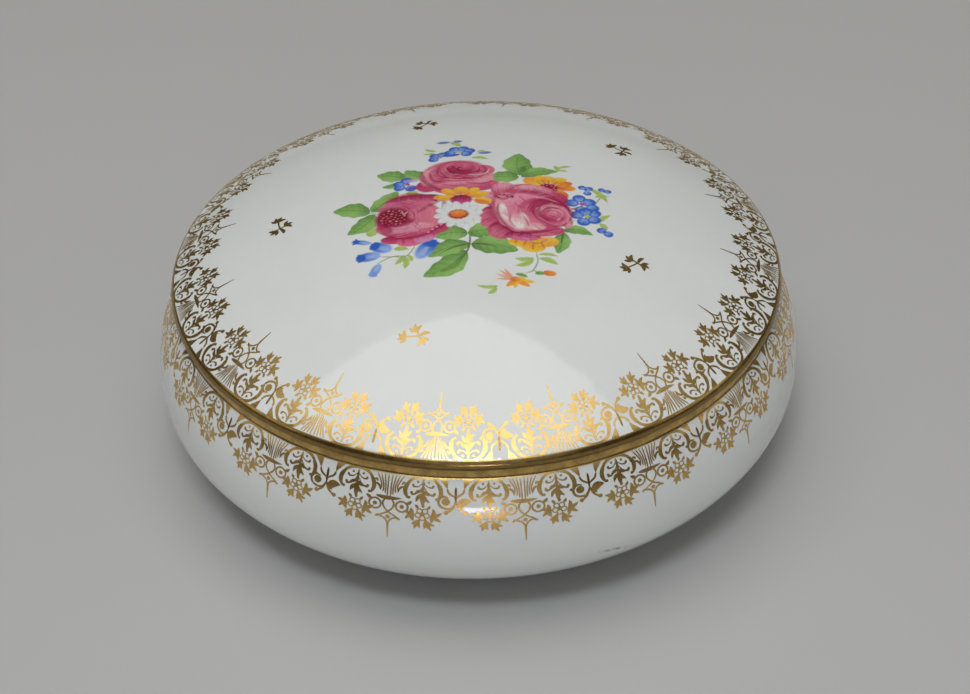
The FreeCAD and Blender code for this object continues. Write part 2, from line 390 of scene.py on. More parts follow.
def painted_shade_band_material(name, painted_shade_tones):
    """Gold of an upright band, with painted light and shade: darker or lighter by height. The painted shade
    tones are pairs of height in millimetres and brightness, lowest first.
    """
    n = Nodes(name)
    bottom, top = painted_shade_tones[0][0], painted_shade_tones[-1][0]
    height = n.add("ShaderNodeSeparateXYZ", {"Vector": n.where}).outputs["Z"]
    wander = n.spread(n.noise(90.0, 4.0, 0.6), 0.3, 0.7, -0.0002, 0.0002)
    height = n.add("ShaderNodeMath", {0: height, 1: wander}, operation="ADD").outputs[0]
    place = n.spread(height, bottom * MM, top * MM, 0.0, 1.0)
    ramp = n.add("ShaderNodeValToRGB", {"Fac": place})
    points = ramp.color_ramp.elements
    points.remove(points[1])
    # Each brightness is painted light or shade laid into the gold colour at its height.
    for z, painted_brightness in painted_shade_tones:
        spot = (z - bottom) / (top - bottom)
        point = points[0] if z == bottom else points.new(spot)
        point.position = spot
        point.color = (0.66 * painted_brightness, 0.44 * painted_brightness, 0.15 * painted_brightness, 1)
    mottle = n.spread(n.noise(340.0, 5.0, 0.65), 0.36, 0.62, 0.0, 0.55)
    n.feed(Base_Color=n.mix(mottle, ramp.outputs["Color"], (0.20, 0.12, 0.045, 1)), Metallic=1.0)
    n.feed(Roughness=n.spread(n.noise(500.0, 4.0, 0.6), 0.3, 0.7, 0.14, 0.30))
    n.bump(n.noise(700.0, 3.0), 0.00001, 0.5)
    return n.material


# ---------------------------------------------------------------- flat drawing of gilt ornament

# How far a gilt film stands above the glaze, and how far its sides reach below it.
FILM = 0.035
ROOT = -0.03
# Edges sharper than this, in degrees, aren't shaded smooth on the films.
FILM_SHARP = 40


def smooth(points, per=5):
    """A Catmull-Rom curve through the points, per steps to a span."""
    p = np.array(points, float)
    if len(p) == 2:
        t = np.linspace(0, 1, per + 1)[:, None]
        return p[0] * (1 - t) + p[1] * t
    ends = np.vstack([2 * p[0] - p[1], p, 2 * p[-1] - p[-2]])
    out = []
    for i in range(len(p) - 1):
        a, b, c, d = ends[i : i + 4]
        square, cube = 2 * a - 5 * b + 4 * c - d, 3 * b - a - 3 * c + d
        for t in np.linspace(0, 1, per, endpoint=False):
            out.append(0.5 * (2 * b + (c - a) * t + square * t**2 + cube * t**3))
    out.append(p[-1])
    return np.array(out)


# How a stroke's width runs from its start, 0, to its end, 1.
WIDTHS = {
    "line": lambda t: np.clip(8 * t, 0.55, 1) * np.clip(8 * (1 - t), 0.55, 1),
    "leaf": lambda t: np.maximum(np.sin(math.pi * t**0.8) ** 0.7, 0.08),
    "drop": lambda t: 0.25 + 0.75 * t**1.5 * np.clip(6 * (1 - t), 0, 1) ** 0.5,
    "spike": lambda t: 1 - 0.65 * t,
}


class Drawing:
    """Gilt shapes on the flat: each one is a strip of rows of points across it, all (u, v) in millimetres."""

    def __init__(self):
        self.strips = []

    def strip(self, left, right, across=1, step=0.4):
        """A strip between two lines, with rows put in where they are too far apart to hug a curve."""
        left, right = np.array(left, float), np.array(right, float)
        gaps = np.maximum(*(np.linalg.norm(np.diff(line, axis=0), axis=1) for line in (left, right)))
        extra = np.ceil(gaps / step).clip(1).astype(int)
        rows = np.concatenate([i + np.arange(n) / n for i, n in enumerate(extra)] + [[len(extra)]])
        known = np.arange(len(left))
        left, right = (
            np.stack([np.interp(rows, known, line[:, k]) for k in (0, 1)], 1) for line in (left, right)
        )
        t = np.linspace(0, 1, across + 1)[None, :, None]
        self.strips.append(left[:, None] * (1 - t) + right[:, None] * t)

    def stroke(self, points, width, shape="line", per=5):
        """A line of changing width through the points."""
        path = smooth(points, per)
        along = np.gradient(path, axis=0)
        along /= np.linalg.norm(along, axis=1)[:, None] + 1e-9
        side = np.stack([-along[:, 1], along[:, 0]], 1)
        t = np.linspace(0, 1, len(path))
        half = 0.5 * width * WIDTHS[shape](t)[:, None]
        self.strip(path + side * half, path - side * half)

    def leaf(self, x, y, degrees, length, width, bend=0.12):
        angle = math.radians(degrees)
        tip = (x + length * math.cos(angle), y + length * math.sin(angle))
        middle = (
            (x + tip[0]) / 2 - bend * length * math.sin(angle),
            (y + tip[1]) / 2 + bend * length * math.cos(angle),
        )
        self.stroke([(x, y), middle, tip], width, "leaf", 4)

    def dot(self, x, y, radius, sides=8):
        """A disc, as a strip between its left and right halves."""
        t = np.linspace(0, math.pi, sides // 2 + 2)
        up, across = y - radius * np.cos(t), np.maximum(radius * np.sin(t), radius * 0.05)
        self.strip(np.stack([x - across, up], 1), np.stack([x + across, up], 1))

    def ring(self, x, y, radius, width, sides=18):
        t = np.linspace(0, 2 * math.pi, sides + 1)
        circle = np.stack([np.cos(t), np.sin(t)], 1)
        self.strip((x, y) + circle * (radius + width / 2), (x, y) + circle * (radius - width / 2))

    def solid(self):
        """Rows (u, v, height) of raised strips with upright sides, and their quads. The underside is open."""
        verts, faces = [], []
        for s in self.strips:
            rows, columns = s.shape[:2]
            top = np.concatenate([s, np.full((rows, columns, 1), FILM)], -1)
            feet = np.concatenate([s[:, [0, -1]], np.full((rows, 2, 1), ROOT)], -1)
            grid = np.concatenate([feet[:, :1], top, feet[:, 1:]], 1)
            base = sum(len(v) for v in verts)
            verts.append(grid.reshape(-1, 3))
            wide = columns + 2
            i, j = np.meshgrid(np.arange(rows - 1), np.arange(wide - 1), indexing="ij")
            a = base + i * wide + j
            faces.append(np.stack([a, a + 1, a + wide + 1, a + wide], -1).reshape(-1, 4))
            # A quad or two close each end of the strip.
            for row in (0, rows - 1):
                ring = base + row * wide
                for c in range(0, wide - 2, 2):
                    last = min(c + 2, wide - 1)
                    faces.append(np.array([[ring, ring + c + 1, ring + last, ring + wide - 1]]))
        return np.concatenate(verts), np.concatenate(faces)


# Half the width of one repeat of the lace.
CELL = 14.5


def clump(drawing, x, y, degrees, spread, count, length, width=0.9):
    """A tuft of leaves that fan out from one point about a direction; the middle ones are longest."""
    drawing.dot(x, y, 0.36)
    for i in range(count):
        lean = i / (count - 1) - 0.5
        reach = length * (1 - 0.9 * lean * lean)
        drawing.leaf(x, y, degrees + lean * spread, reach, width, 0.06 - 0.2 * lean)


def nosegay(drawing, x, y):
    """An outlined flower of five petals, with a tuft of leaves above it and one at each side."""
    for i in range(5):
        drawing.ring(*polar((x, y), 0.98, 90 + 72 * i), 0.6, 0.3, 10)
    drawing.dot(x, y, 0.36)
    clump(drawing, x - 0.7, y + 1.7, 114, 64, 3, 2.5)
    clump(drawing, x + 0.7, y + 1.6, 64, 66, 3, 2.9)
    clump(drawing, x - 2.0, y + 0.2, 170, 170, 4, 2.2)
    clump(drawing, x + 2.05, y + 0.3, 6, 180, 4, 2.4)
    for degrees in (-55, -90, -125):
        drawing.leaf(*polar((x, y), 1.7, degrees), degrees, 1.1, 0.7)


def palmette(drawing, x):
    """A bud on a short stem between two pairs of curled leaves, under an arch."""
    drawing.stroke([(x, 0.7), (x, 4.2)], 0.55)
    drawing.leaf(x, 3.6, 90, 3.8, 1.2, 0.0)
    for side in (-1, 1):
        for curl, width, shape in (
            ([(0, 2.2), (1.1, 3.9), (2.2, 4.4), (2.6, 3.7)], 0.85, "drop"),
            ([(0, 1.4), (1.0, 2.4), (2.0, 2.5), (2.3, 1.9)], 0.7, "drop"),
            ([(3.3, 5.6), (3.9, 3.9), (3.6, 2.2), (2.4, 0.8)], 1.0, "leaf"),
        ):
            drawing.stroke([(x + side * u, v) for u, v in curl], width, shape)
        drawing.leaf(x, 4.2, 90 - side * 36, 2.5, 0.9)
        drawing.leaf(x, 3.4, 90 - side * 62, 2.1, 0.8)
        drawing.dot(x + side * 3.0, 5.3, 0.36)
        drawing.dot(x + side * 1.2, 1.35, 0.3)
    arch = [(3.75, 4.6), (3.55, 2.6), (2.9, 1.2), (1.5, 0.35), (0, 0.15)]
    left, right = [(x - u, v) for u, v in arch], [(x + u, v) for u, v in reversed(arch[:-1])]
    drawing.stroke(left + right, 0.7, "line", 4)


def pedestal(drawing):
    """The spire's foot: a crossbar over fine lines that fan out to the edge like a skirt."""
    for side in (-1, 1):
        for k in range(4):
            top, foot = 0.35 + 0.52 * k, 0.45 + 0.86 * k
            waist = top + (foot - top) * 0.1 - 0.06 * k
            start = 5.7 - 0.5 * k
            path = [(top, start), (waist, 3.4 - 0.2 * k), (foot, 0.4)]
            drawing.stroke([(side * u, v) for u, v in path], 0.34, "line", 4)
        for curl, width in (
            ([(1.9, 4.6), (2.3, 3.4), (3.0, 3.0), (3.6, 3.8)], 0.55),
            ([(2.7, 2.5), (3.1, 1.9), (3.7, 2.2)], 0.5),
        ):
            drawing.stroke([(side * u, v) for u, v in curl], width, "leaf")
    drawing.stroke([(-2.9, 5.9), (-1.0, 6.1), (1.0, 6.1), (2.9, 5.9)], 1.0, "leaf")


def spire(drawing):
    """The lyre and its two eyes above the crossbar, the lozenge above it and the spike on top."""
    for side in (-1, 1):
        drawing.stroke([(side * 0.6, 6.2), (side * 1.2, 7.3), (side * 0.9, 8.6), (-side * 0.3, 9.9)], 0.42)
        drawing.stroke([(-side * 0.3, 9.4), (side * 0.5, 10.0), (side * 2.1, 10.9)], 0.42)
        drawing.stroke([(side * 2.2, 10.9), (side * 0.8, 11.4), (0, 12.6)], 0.42)
        drawing.leaf(side * 1.8, 10.8, 90 - side * 60, 1.1, 0.6)
        drawing.ring(side * 2.95, 7.95, 1.32, 0.44)
        drawing.dot(side * 2.95, 7.95, 0.5)
        drawing.leaf(side * 3.9, 7.1, -90 + side * 50, 1.5, 0.8)
    drawing.dot(0, 10.95, 0.5)
    drawing.stroke([(0, 12.3), (0, 16.6)], 0.62, "spike")


def joint(drawing):
    """Where two repeats meet: a forked stem, a scroll on one side and a heart-shaped leaf on the other."""
    for side in (-1, 1):
        edge = side * CELL
        outer = [(4.2, -0.4), (3.3, 0.8), (2.6, 1.6), (1.95, 2.5)]
        inner = [(1.9, -0.4), (1.7, 0.8), (1.7, 1.6), (1.8, 2.5)]
        drawing.strip(*([(edge - side * u, v) for u, v in line] for line in (outer, inner)))
        drawing.stroke([(edge, 2.2), (edge, 5.6)], 0.55)
        drawing.stroke([(edge - side * 1.9, 2.6), (edge - side * 1.5, 3.6), (edge - side * 0.2, 4.6)], 0.5)
        drawing.stroke([(edge, 5.6), (edge - side * 0.7, 7.4), (edge - side * 2.0, 8.6)], 0.5)
        drawing.dot(edge - side * 2.1, 8.5, 0.52)
    drawing.stroke(
        [(CELL, 5.6), (13.8, 7.1), (12.6, 7.5), (11.2, 6.9), (10.8, 5.6), (11.7, 4.5), (12.9, 4.7)], 0.55
    )
    drawing.dot(12.35, 5.75, 0.95)
    drawing.stroke([(-CELL, 5.6), (-13.9, 6.9), (-12.9, 7.2)], 0.5)
    drawing.leaf(-13.9, 6.9, -25, 3.0, 1.9, -0.2)
    drawing.dot(-12.9, 5.6, 0.75)


def lace_unit():
    """One repeat of the lace: u runs along the edge from the spire's axis, v away from the gilded edge."""
    unit = Drawing()
    pedestal(unit)
    spire(unit)
    for side in (-1, 1):
        palmette(unit, side * 7.4)
        nosegay(unit, side * 7.4, 9.3)
    joint(unit)
    unit.strip([(-CELL, -0.4), (CELL, -0.4)], [(-CELL, 0.25), (CELL, 0.25)], across=3, step=1.5)
    return unit


def sprig_unit():
    """A small gilt sprig about seven millimetres across: a bent stem with three tufts of leaves and a bud."""
    sprig = Drawing()
    sprig.stroke([(-2.4, -1.6), (-0.9, -0.7), (0.3, 0.2), (1.0, 1.0)], 0.4)
    sprig.stroke([(0.2, 0.1), (-0.2, 0.8), (-0.9, 1.2)], 0.4)
    sprig.stroke([(0.2, 0.1), (0.8, -0.1), (1.4, -0.5)], 0.4)
    for x, y, turns in (
        (-2.2, -1.5, (128, 178, 222, 268)),
        (-0.8, 1.1, (84, 132, 186)),
        (1.2, -0.4, (20, -28, -78)),
        (0.7, 0.8, (42,)),
    ):
        sprig.dot(x, y, 0.42)
        for turn in turns:
            sprig.leaf(x, y, turn, 2.0, 0.95)
    return sprig


# Where the sprigs are on the lid in plan, and how far each is turned.
SPRIGS = ((-12.0, 44.5, 15), (37.8, 30.2, -75), (37.8, -20.4, 4), (-13.6, -44.4, -34), (-47.4, -0.1, -112))


def lay_round(name, drawing, skin, reach, phase):
    """The drawing repeated round a skin, its v times reach running along the skin."""
    flat, faces = drawing.solid()
    verts = []
    for k in range(REPEATS):
        azimuth = phase + (k + flat[:, 0] / (2 * CELL)) * 2 * math.pi / REPEATS
        verts.append(skin.place(reach * flat[:, 1], azimuth, flat[:, 2]))
    count = len(flat)
    every = np.concatenate([faces + k * count for k in range(REPEATS)])
    return make_object(name, np.concatenate(verts), every, FILM_SHARP)


# ---------------------------------------------------------------- the enamel bouquet


def ink(red, green, blue):
    """Linear reflectance of an enamel colour, given as it looks beside the white of the glaze."""
    c = np.array([red, green, blue]) / 255
    linear = np.where(c <= 0.04045, c / 12.92, ((c + 0.055) / 1.055) ** 2.4)
    return np.minimum(linear * 1.2, 0.85)


CRIMSON = ink(128, 22, 56)
WINE = ink(150, 36, 78)
ROSE = ink(182, 70, 106)
PINK = ink(198, 106, 132)
BLUSH = ink(212, 148, 162)
PETAL_WHITE = ink(226, 214, 210)
MAGENTA = ink(186, 74, 128)
LAVENDER = ink(198, 136, 172)
GREEN = ink(104, 150, 72)
LEAF_DARK = ink(64, 108, 48)
LEAF_LIGHT = ink(146, 186, 104)
SPRAY = ink(158, 182, 98)
STEM = ink(132, 140, 96)
BLUE = ink(48, 92, 182)
BLUE_LIGHT = ink(134, 164, 220)
BLUE_VIOLET = ink(92, 84, 186)
YELLOW = ink(218, 182, 66)
AMBER = ink(220, 146, 60)
ORANGE = ink(206, 106, 58)
MAROON = ink(136, 34, 48)
WHITE = ink(208, 210, 208)
SHADOW = ink(140, 148, 170)


def ease(x):
    x = np.clip(x, 0, 1)
    return x * x * (3 - 2 * x)


class Painting:
    """Enamel on a grid of points over the lid, in millimetres: its colour times its cover, and its cover."""

    def __init__(self, left, right, front, back, step):
        self.step = step
        self.xs = np.arange(left, right + step, step)
        self.ys = np.arange(front, back + step, step)
        self.colour = np.zeros((len(self.ys), len(self.xs), 3))
        self.cover = np.zeros((len(self.ys), len(self.xs)))
        self.rng = np.random.default_rng(11)

    def window(self, x, y, reach):
        """The part of the grid within reach of a point, as slices, and its coordinates."""
        rows = slice(*np.searchsorted(self.ys, (y - reach, y + reach)))
        columns = slice(*np.searchsorted(self.xs, (x - reach, x + reach)))
        px, py = np.meshgrid(self.xs[columns], self.ys[rows])
        return (rows, columns), px, py

    def lay(self, where, mask, colour):
        mask = mask[..., None]
        self.colour[where] = self.colour[where] * (1 - mask) + colour * mask
        self.cover[where] = self.cover[where] * (1 - mask[..., 0]) + mask[..., 0]

    def dab(self, x, y, rx, ry, turn, near, far=None, toward=90, soft=0.22, strength=1.0, cup=0.0):
        """An oval touch of the brush that runs from the colour near to the colour far along toward.

        With cup, the colour near gathers round the rim as well.
        """
        where, px, py = self.window(x, y, max(rx, ry) * 1.4)
        a = math.radians(turn)
        p = ((px - x) * math.cos(a) + (py - y) * math.sin(a)) / rx
        q = (-(px - x) * math.sin(a) + (py - y) * math.cos(a)) / ry
        d = np.sqrt(p * p + q * q)
        mask = ease((1 + soft / 2 - d) / soft) * strength
        if far is None:
            return self.lay(where, mask, near)
        t = math.radians(toward - turn)
        blend = 0.5 + 0.55 * (p * math.cos(t) + q * math.sin(t)) - cup * ease((d - 0.55) / 0.45)
        t = math.radians(toward)
        across = (px - x) * math.sin(t) - (py - y) * math.cos(t)
        along = (px - x) * math.cos(t) + (py - y) * math.sin(t)
        for waves in (2.9, 5.3, 8.7):
            shift = self.rng.random() * 6.3
            blend = blend + 0.05 * np.sin(across * waves + shift + np.sin(along * 1.3 + shift))
        self.lay(where, mask, near + (far - near) * ease(blend)[..., None])

    def line(self, points, width, colour, soft=0.5, strength=1.0, shape="leaf"):
        """A brush line of changing width through the points."""
        path = smooth(points, 5)
        middle = path.mean(axis=0)
        reach = np.abs(path - middle).max() + width
        where, px, py = self.window(middle[0], middle[1], reach)
        best = np.full(px.shape, 9.0)
        half = 0.5 * width * WIDTHS[shape](np.linspace(0, 1, len(path)))
        for (a, wa), (b, wb) in zip(zip(path, half), zip(path[1:], half[1:])):
            run = b - a
            t = np.clip(((px - a[0]) * run[0] + (py - a[1]) * run[1]) / (run @ run + 1e-9), 0, 1)
            d = np.hypot(px - a[0] - t * run[0], py - a[1] - t * run[1])
            best = np.minimum(best, d / (wa + (wb - wa) * t))
        mask = ease((1 + soft / 2 - best) / soft) * strength
        self.lay(where, mask, colour)

    def leaf(self, base, tip, width, dark=LEAF_DARK, light=LEAF_LIGHT, body=GREEN, bend=0.1):
        """A pointed leaf with a midrib, one half in shade."""
        base, tip = np.array(base, float), np.array(tip, float)
        run = tip - base
        length = np.hypot(*run)
        way = run / length
        side = np.array([-way[1], way[0]])
        where, px, py = self.window(*(base + run / 2), length * 0.75 + width / 2)
        t = ((px - base[0]) * way[0] + (py - base[1]) * way[1]) / length
        rib = bend * length * np.sin(np.clip(t, 0, 1) * math.pi)
        s = (px - base[0]) * side[0] + (py - base[1]) * side[1] - rib
        tc = np.clip(t, 0, 1)
        half = 0.5 * width * np.maximum(np.sin(math.pi * tc**0.85), 0) ** 0.75 + 0.02
        wave = 1 + 0.06 * np.sin(tc * 21)
        inside = ease((half * wave - np.abs(s)) / 0.35 + 0.3) * ((t > -0.02) & (t < 1.02))
        across = s / half
        shade = ease(0.5 + 0.6 * across)
        colour = body + (light - body) * (0.75 * shade * ease(1.2 - tc))[..., None]
        shaded = 0.65 * ease(1 - 2.2 * tc) + 0.25 * ease(-across)
        colour = colour + (dark - colour) * shaded[..., None]
        veins = 0.5 + 0.5 * np.sin((tc * 9 - np.abs(across) * 1.4) * 2 * math.pi / 1.5)
        colour = colour + (light - colour) * (0.22 * veins * (np.abs(across) < 0.85))[..., None]
        ribbed = ease(1.5 - np.abs(s) / 0.18) * 0.45 * (tc < 0.85)
        rim = ease(3.2 * np.abs(across) - 2.4) * 0.5 * (s < 0)
        colour = colour + (dark - colour) * np.maximum(ribbed, rim)[..., None]
        self.lay(where, inside * 0.97, colour)

    def curls(self, centre, inner, outer, start, end, count, length, colour, squash=1.0, strength=0.5):
        """Fine arcs scattered about a centre, as the edges of petals that close round it."""
        for _ in range(count):
            r = inner + (outer - inner) * self.rng.random()
            middle = start + (end - start) * self.rng.random()
            half = math.degrees(length * (0.5 + self.rng.random()) / (2 * r))
            lean = 0.12 * (self.rng.random() - 0.5)
            points = []
            for k in (-1, -0.3, 0.3, 1):
                u, v = polar((0, 0), r * (1 + lean * k), middle + half * k)
                points.append((centre[0] + u, centre[1] + v * squash))
            self.line(points, 0.24 + 0.2 * self.rng.random(), colour, 1.0, strength)

    def petals(self, x, y, count, inner, outer, width, near, far, start=90, squash=1.0):
        """Petals round a point, each an oval from the radius inner to outer."""
        for i in range(count):
            degrees = start + 360 * i / count
            r = (inner + outer) / 2
            px, py = polar((0, 0), r, degrees)
            half = (outer - inner) / 2 * 1.1
            self.dab(x + px, y + py * squash, half, width / 2, degrees, near, far, degrees, 0.25)


def paint_sprays(art):
    """Thin stems and pale green sprays, which go down first."""
    for points in (
        [(14.4, -18.9), (14.6, -22.0), (13.4, -25.1), (11.6, -26.1)],
        [(13.4, -25.1), (15.0, -26.0)],
        [(-13.7, -14.3), (-16.1, -18.6), (-19.5, -18.5), (-23.1, -17.9)],
        [(-16.1, -18.6), (-19.6, -18.5), (-23.1, -20.5)],
        [(-1.0, -11.5), (-1.2, -16.0), (-2.0, -18.6)],
        [(-1.2, -11.8), (1.0, -11.6)],
        [(-25.3, -0.5), (-23.0, -1.5)],
        [(21.0, -9.2), (21.0, -11.0)],
        [(29.0, 0.5), (31.0, 4.6)],
    ):
        art.line(points, 0.35, STEM, 0.8, 0.8, "line")
    for base, tip, width in (
        ((20.2, 18.2), (21.0, 15.3), 1.1),
        ((21.2, 17.0), (24.6, 18.2), 0.8),
        ((21.0, 15.8), (23.6, 15.6), 0.7),
        ((28.3, 8.2), (32.6, 2.2), 1.2),
        ((29.5, 4.4), (33.2, 5.2), 0.8),
        ((29.8, -6.3), (32.9, -2.9), 1.1),
        ((30.0, -6.6), (31.6, -9.2), 1.2),
        ((13.9, -21.0), (9.2, -21.0), 1.2),
        ((13.7, -21.7), (9.2, -23.6), 1.1),
        ((15.0, -20.9), (19.4, -23.0), 1.3),
        ((14.8, -19.6), (19.6, -20.1), 0.8),
        ((5.2, -30.4), (0.0, -30.0), 0.9),
        ((4.8, -30.8), (2.6, -33.0), 1.0),
        ((-9.2, 26.2), (-12.2, 28.2), 0.9),
        ((-9.6, 25.4), (-12.6, 25.2), 0.8),
        ((-5.6, 31.0), (-3.0, 28.4), 1.3),
        ((1.0, 25.3), (3.4, 25.9), 0.6),
        ((-0.4, 22.2), (4.0, 21.2), 1.0),
        ((-17.1, -18.8), (-18.8, -21.4), 1.1),
        ((-16.6, -18.7), (-16.6, -23.2), 1.2),
        ((-15.8, -18.4), (-14.8, -20.8), 0.8),
        ((-19.2, -15.8), (-15.6, -16.3), 1.3),
        ((-25.4, -10.0), (-23.0, -7.0), 2.2),
        ((-16.4, 6.6), (-13.4, 5.2), 1.8),
    ):
        art.leaf(base, tip, width * 1.45, SPRAY * 0.8, SPRAY * 1.15, SPRAY)


def paint_leaves(art):
    for base, tip, width, bend in (
        ((-25.2, -0.4), (-34.4, 2.2), 6.0, -0.08),
        ((-24.8, -0.2), (-18.6, 7.8), 5.6, -0.05),
        ((-24.0, -1.4), (-30.4, -8.4), 5.4, 0.1),
        ((-16.8, 14.0), (-24.0, 16.4), 5.4, 0.0),
        ((-18.0, 11.4), (-22.6, 10.2), 2.4, 0.1),
        ((-11.6, 13.6), (-17.0, 17.4), 4.8, 0.15),
        ((-1.6, -11.4), (-9.6, -12.4), 5.8, -0.1),
        ((-2.0, -18.0), (-12.2, -26.4), 6.6, 0.1),
        ((-1.2, -15.4), (-11.2, -19.6), 5.6, -0.08),
        ((-1.6, -11.6), (5.6, -10.8), 5.6, 0.1),
        ((-0.9, -15.6), (10.2, -18.2), 6.8, 0.08),
        ((11.6, 13.0), (11.6, 24.2), 7.4, 0.06),
        ((11.2, 12.2), (3.6, 12.4), 5.4, 0.0),
        ((11.8, 12.4), (21.0, 15.4), 4.4, 0.12),
        ((21.0, -10.2), (28.2, -11.4), 3.4, 0.15),
        ((21.0, -10.8), (19.4, -19.0), 4.2, 0.05),
    ):
        art.leaf(base, tip, width, bend=bend)
    # Shade at the foot of the top leaf and dark stems where the lower leaves meet.
    art.line([(12.0, 14.9), (12.8, 17.6)], 1.6, LEAF_DARK, 0.9, 0.6)
    art.line([(-3.0, -19.6), (-4.8, -23.2), (-8.4, -25.2)], 1.4, LEAF_DARK, 1.0, 0.5)
    for twig in (
        [(-1.2, -12.0), (-1.3, -15.8), (-2.2, -19.0), (-4.0, -22.0)],
        [(-1.3, -15.6), (-5.0, -16.6), (-8.0, -18.4)],
        [(-1.3, -15.6), (2.0, -15.8), (6.0, -17.2)],
        [(21.0, -9.6), (20.8, -12.6), (20.2, -15.6)],
    ):
        art.line(twig, 0.5, ink(78, 88, 48), 0.9, 0.75)


def bell(art, mouth, foot, width, deep=BLUE):
    """A bell flower seen from the side, its toothed mouth darkest."""
    mouth, foot = np.array(mouth), np.array(foot)
    turn = heading(foot, mouth)
    length = np.hypot(*(foot - mouth))
    art.dab(*((mouth + foot) / 2), length * 0.52, width / 2, turn, BLUE_LIGHT, deep, turn, 0.35)
    x, y = mouth * 0.4 + foot * 0.6
    art.dab(x, y, length * 0.26, width * 0.16, turn, ink(158, 178, 222), soft=0.9, strength=0.6)
    for lean in (-42, -14, 14, 42):
        start = mouth * 0.7 + foot * 0.3
        art.line([tuple(start), polar(start, length * 0.38, turn + lean)], width * 0.4, deep, 1.0)


def blue_flower(art, x, y, petals, size, eye):
    """Round petals about a small eye, each with a deep blue rim and a pale heart."""
    for px, py in petals:
        art.dab(px, py, size * 1.08, size, 20, BLUE, BLUE_LIGHT, heading((px, py), (x, y)), 0.3, cup=0.75)
        art.line([(x, y), ((x + 2 * px) / 3, (y + 2 * py) / 3)], size * 0.3, BLUE, 0.9, 0.75)
    art.dab(x, y, size * 0.42, size * 0.38, 0, eye, soft=0.7)


def paint_blue(art):
    """Bells at the left, forget-me-nots at the right and blue flowers behind the top rose."""
    bell(art, (-29.0, -11.3), (-24.6, -12.8), 1.7)
    bell(art, (-24.4, -13.6), (-19.8, -16.0), 3.8)
    bell(art, (-27.8, -17.9), (-22.4, -17.4), 3.3)
    bell(art, (-24.2, -24.6), (-22.5, -20.7), 2.3, ink(120, 148, 212))
    bell(art, (-9.9, -13.6), (-13.4, -19.8), 4.2)
    eye = ink(176, 150, 120)
    blue_flower(art, -8.2, 22.9, ((-9.9, 22.0), (-9.6, 23.8), (-7.6, 24.4)), 1.25, eye)
    art.dab(-5.4, 23.9, 2.2, 0.8, 8, BLUE_VIOLET, BLUE, 180, 0.5)
    ring = ((-5.8, 25.2), (-4.6, 27.0), (-2.4, 27.2), (-0.8, 26.0), (-1.6, 24.4))
    blue_flower(art, -3.4, 25.4, ring, 1.35, SPRAY)
    art.dab(-4.2, 26.0, 1.3, 0.4, 4, BLUE_LIGHT, soft=0.8, strength=0.8)
    blue_flower(art, -16.2, 10.6, ((-18.2, 9.2), (-18.4, 11.0), (-16.6, 12.4), (-15.4, 8.6)), 1.35, ROSE)
    art.dab(-14.8, 12.2, 1.7, 0.8, 6, BLUE_LIGHT, LAVENDER, 90, 0.5, 0.7)
    art.dab(-14.6, 8.6, 1.9, 0.8, 8, BLUE_VIOLET, soft=0.5)
    ring = ((23.8, 1.2), (25.6, 3.3), (28.0, 1.9), (28.7, -0.5), (25.9, -1.6))
    blue_flower(art, 26.2, 0.9, ring, 1.55, MAGENTA)
    ring = ((24.7, -3.8), (26.2, -6.4), (28.8, -5.4), (29.0, -2.7), (26.9, -2.2))
    blue_flower(art, 27.2, -4.0, ring, 1.55, SPRAY)
    blue_flower(art, 27.4, 7.4, ((26.6, 8.3), (28.3, 8.0), (27.8, 5.9)), 0.95, BLUE)
    blue_flower(art, 32.0, 7.2, ((31.4, 7.9), (32.9, 7.4)), 0.85, BLUE)
    blue_flower(art, 31.0, -9.8, ((30.3, -9.4), (31.9, -10.6)), 1.1, BLUE)
    for x, y, rx in ((-7.4, 31.2, 1.7), (-3.8, 31.6, 1.1), (3.0, 24.8, 1.7)):
        art.dab(x, y, rx, 0.7, 4, ink(84, 104, 156), ink(128, 146, 200), 90, 0.6)


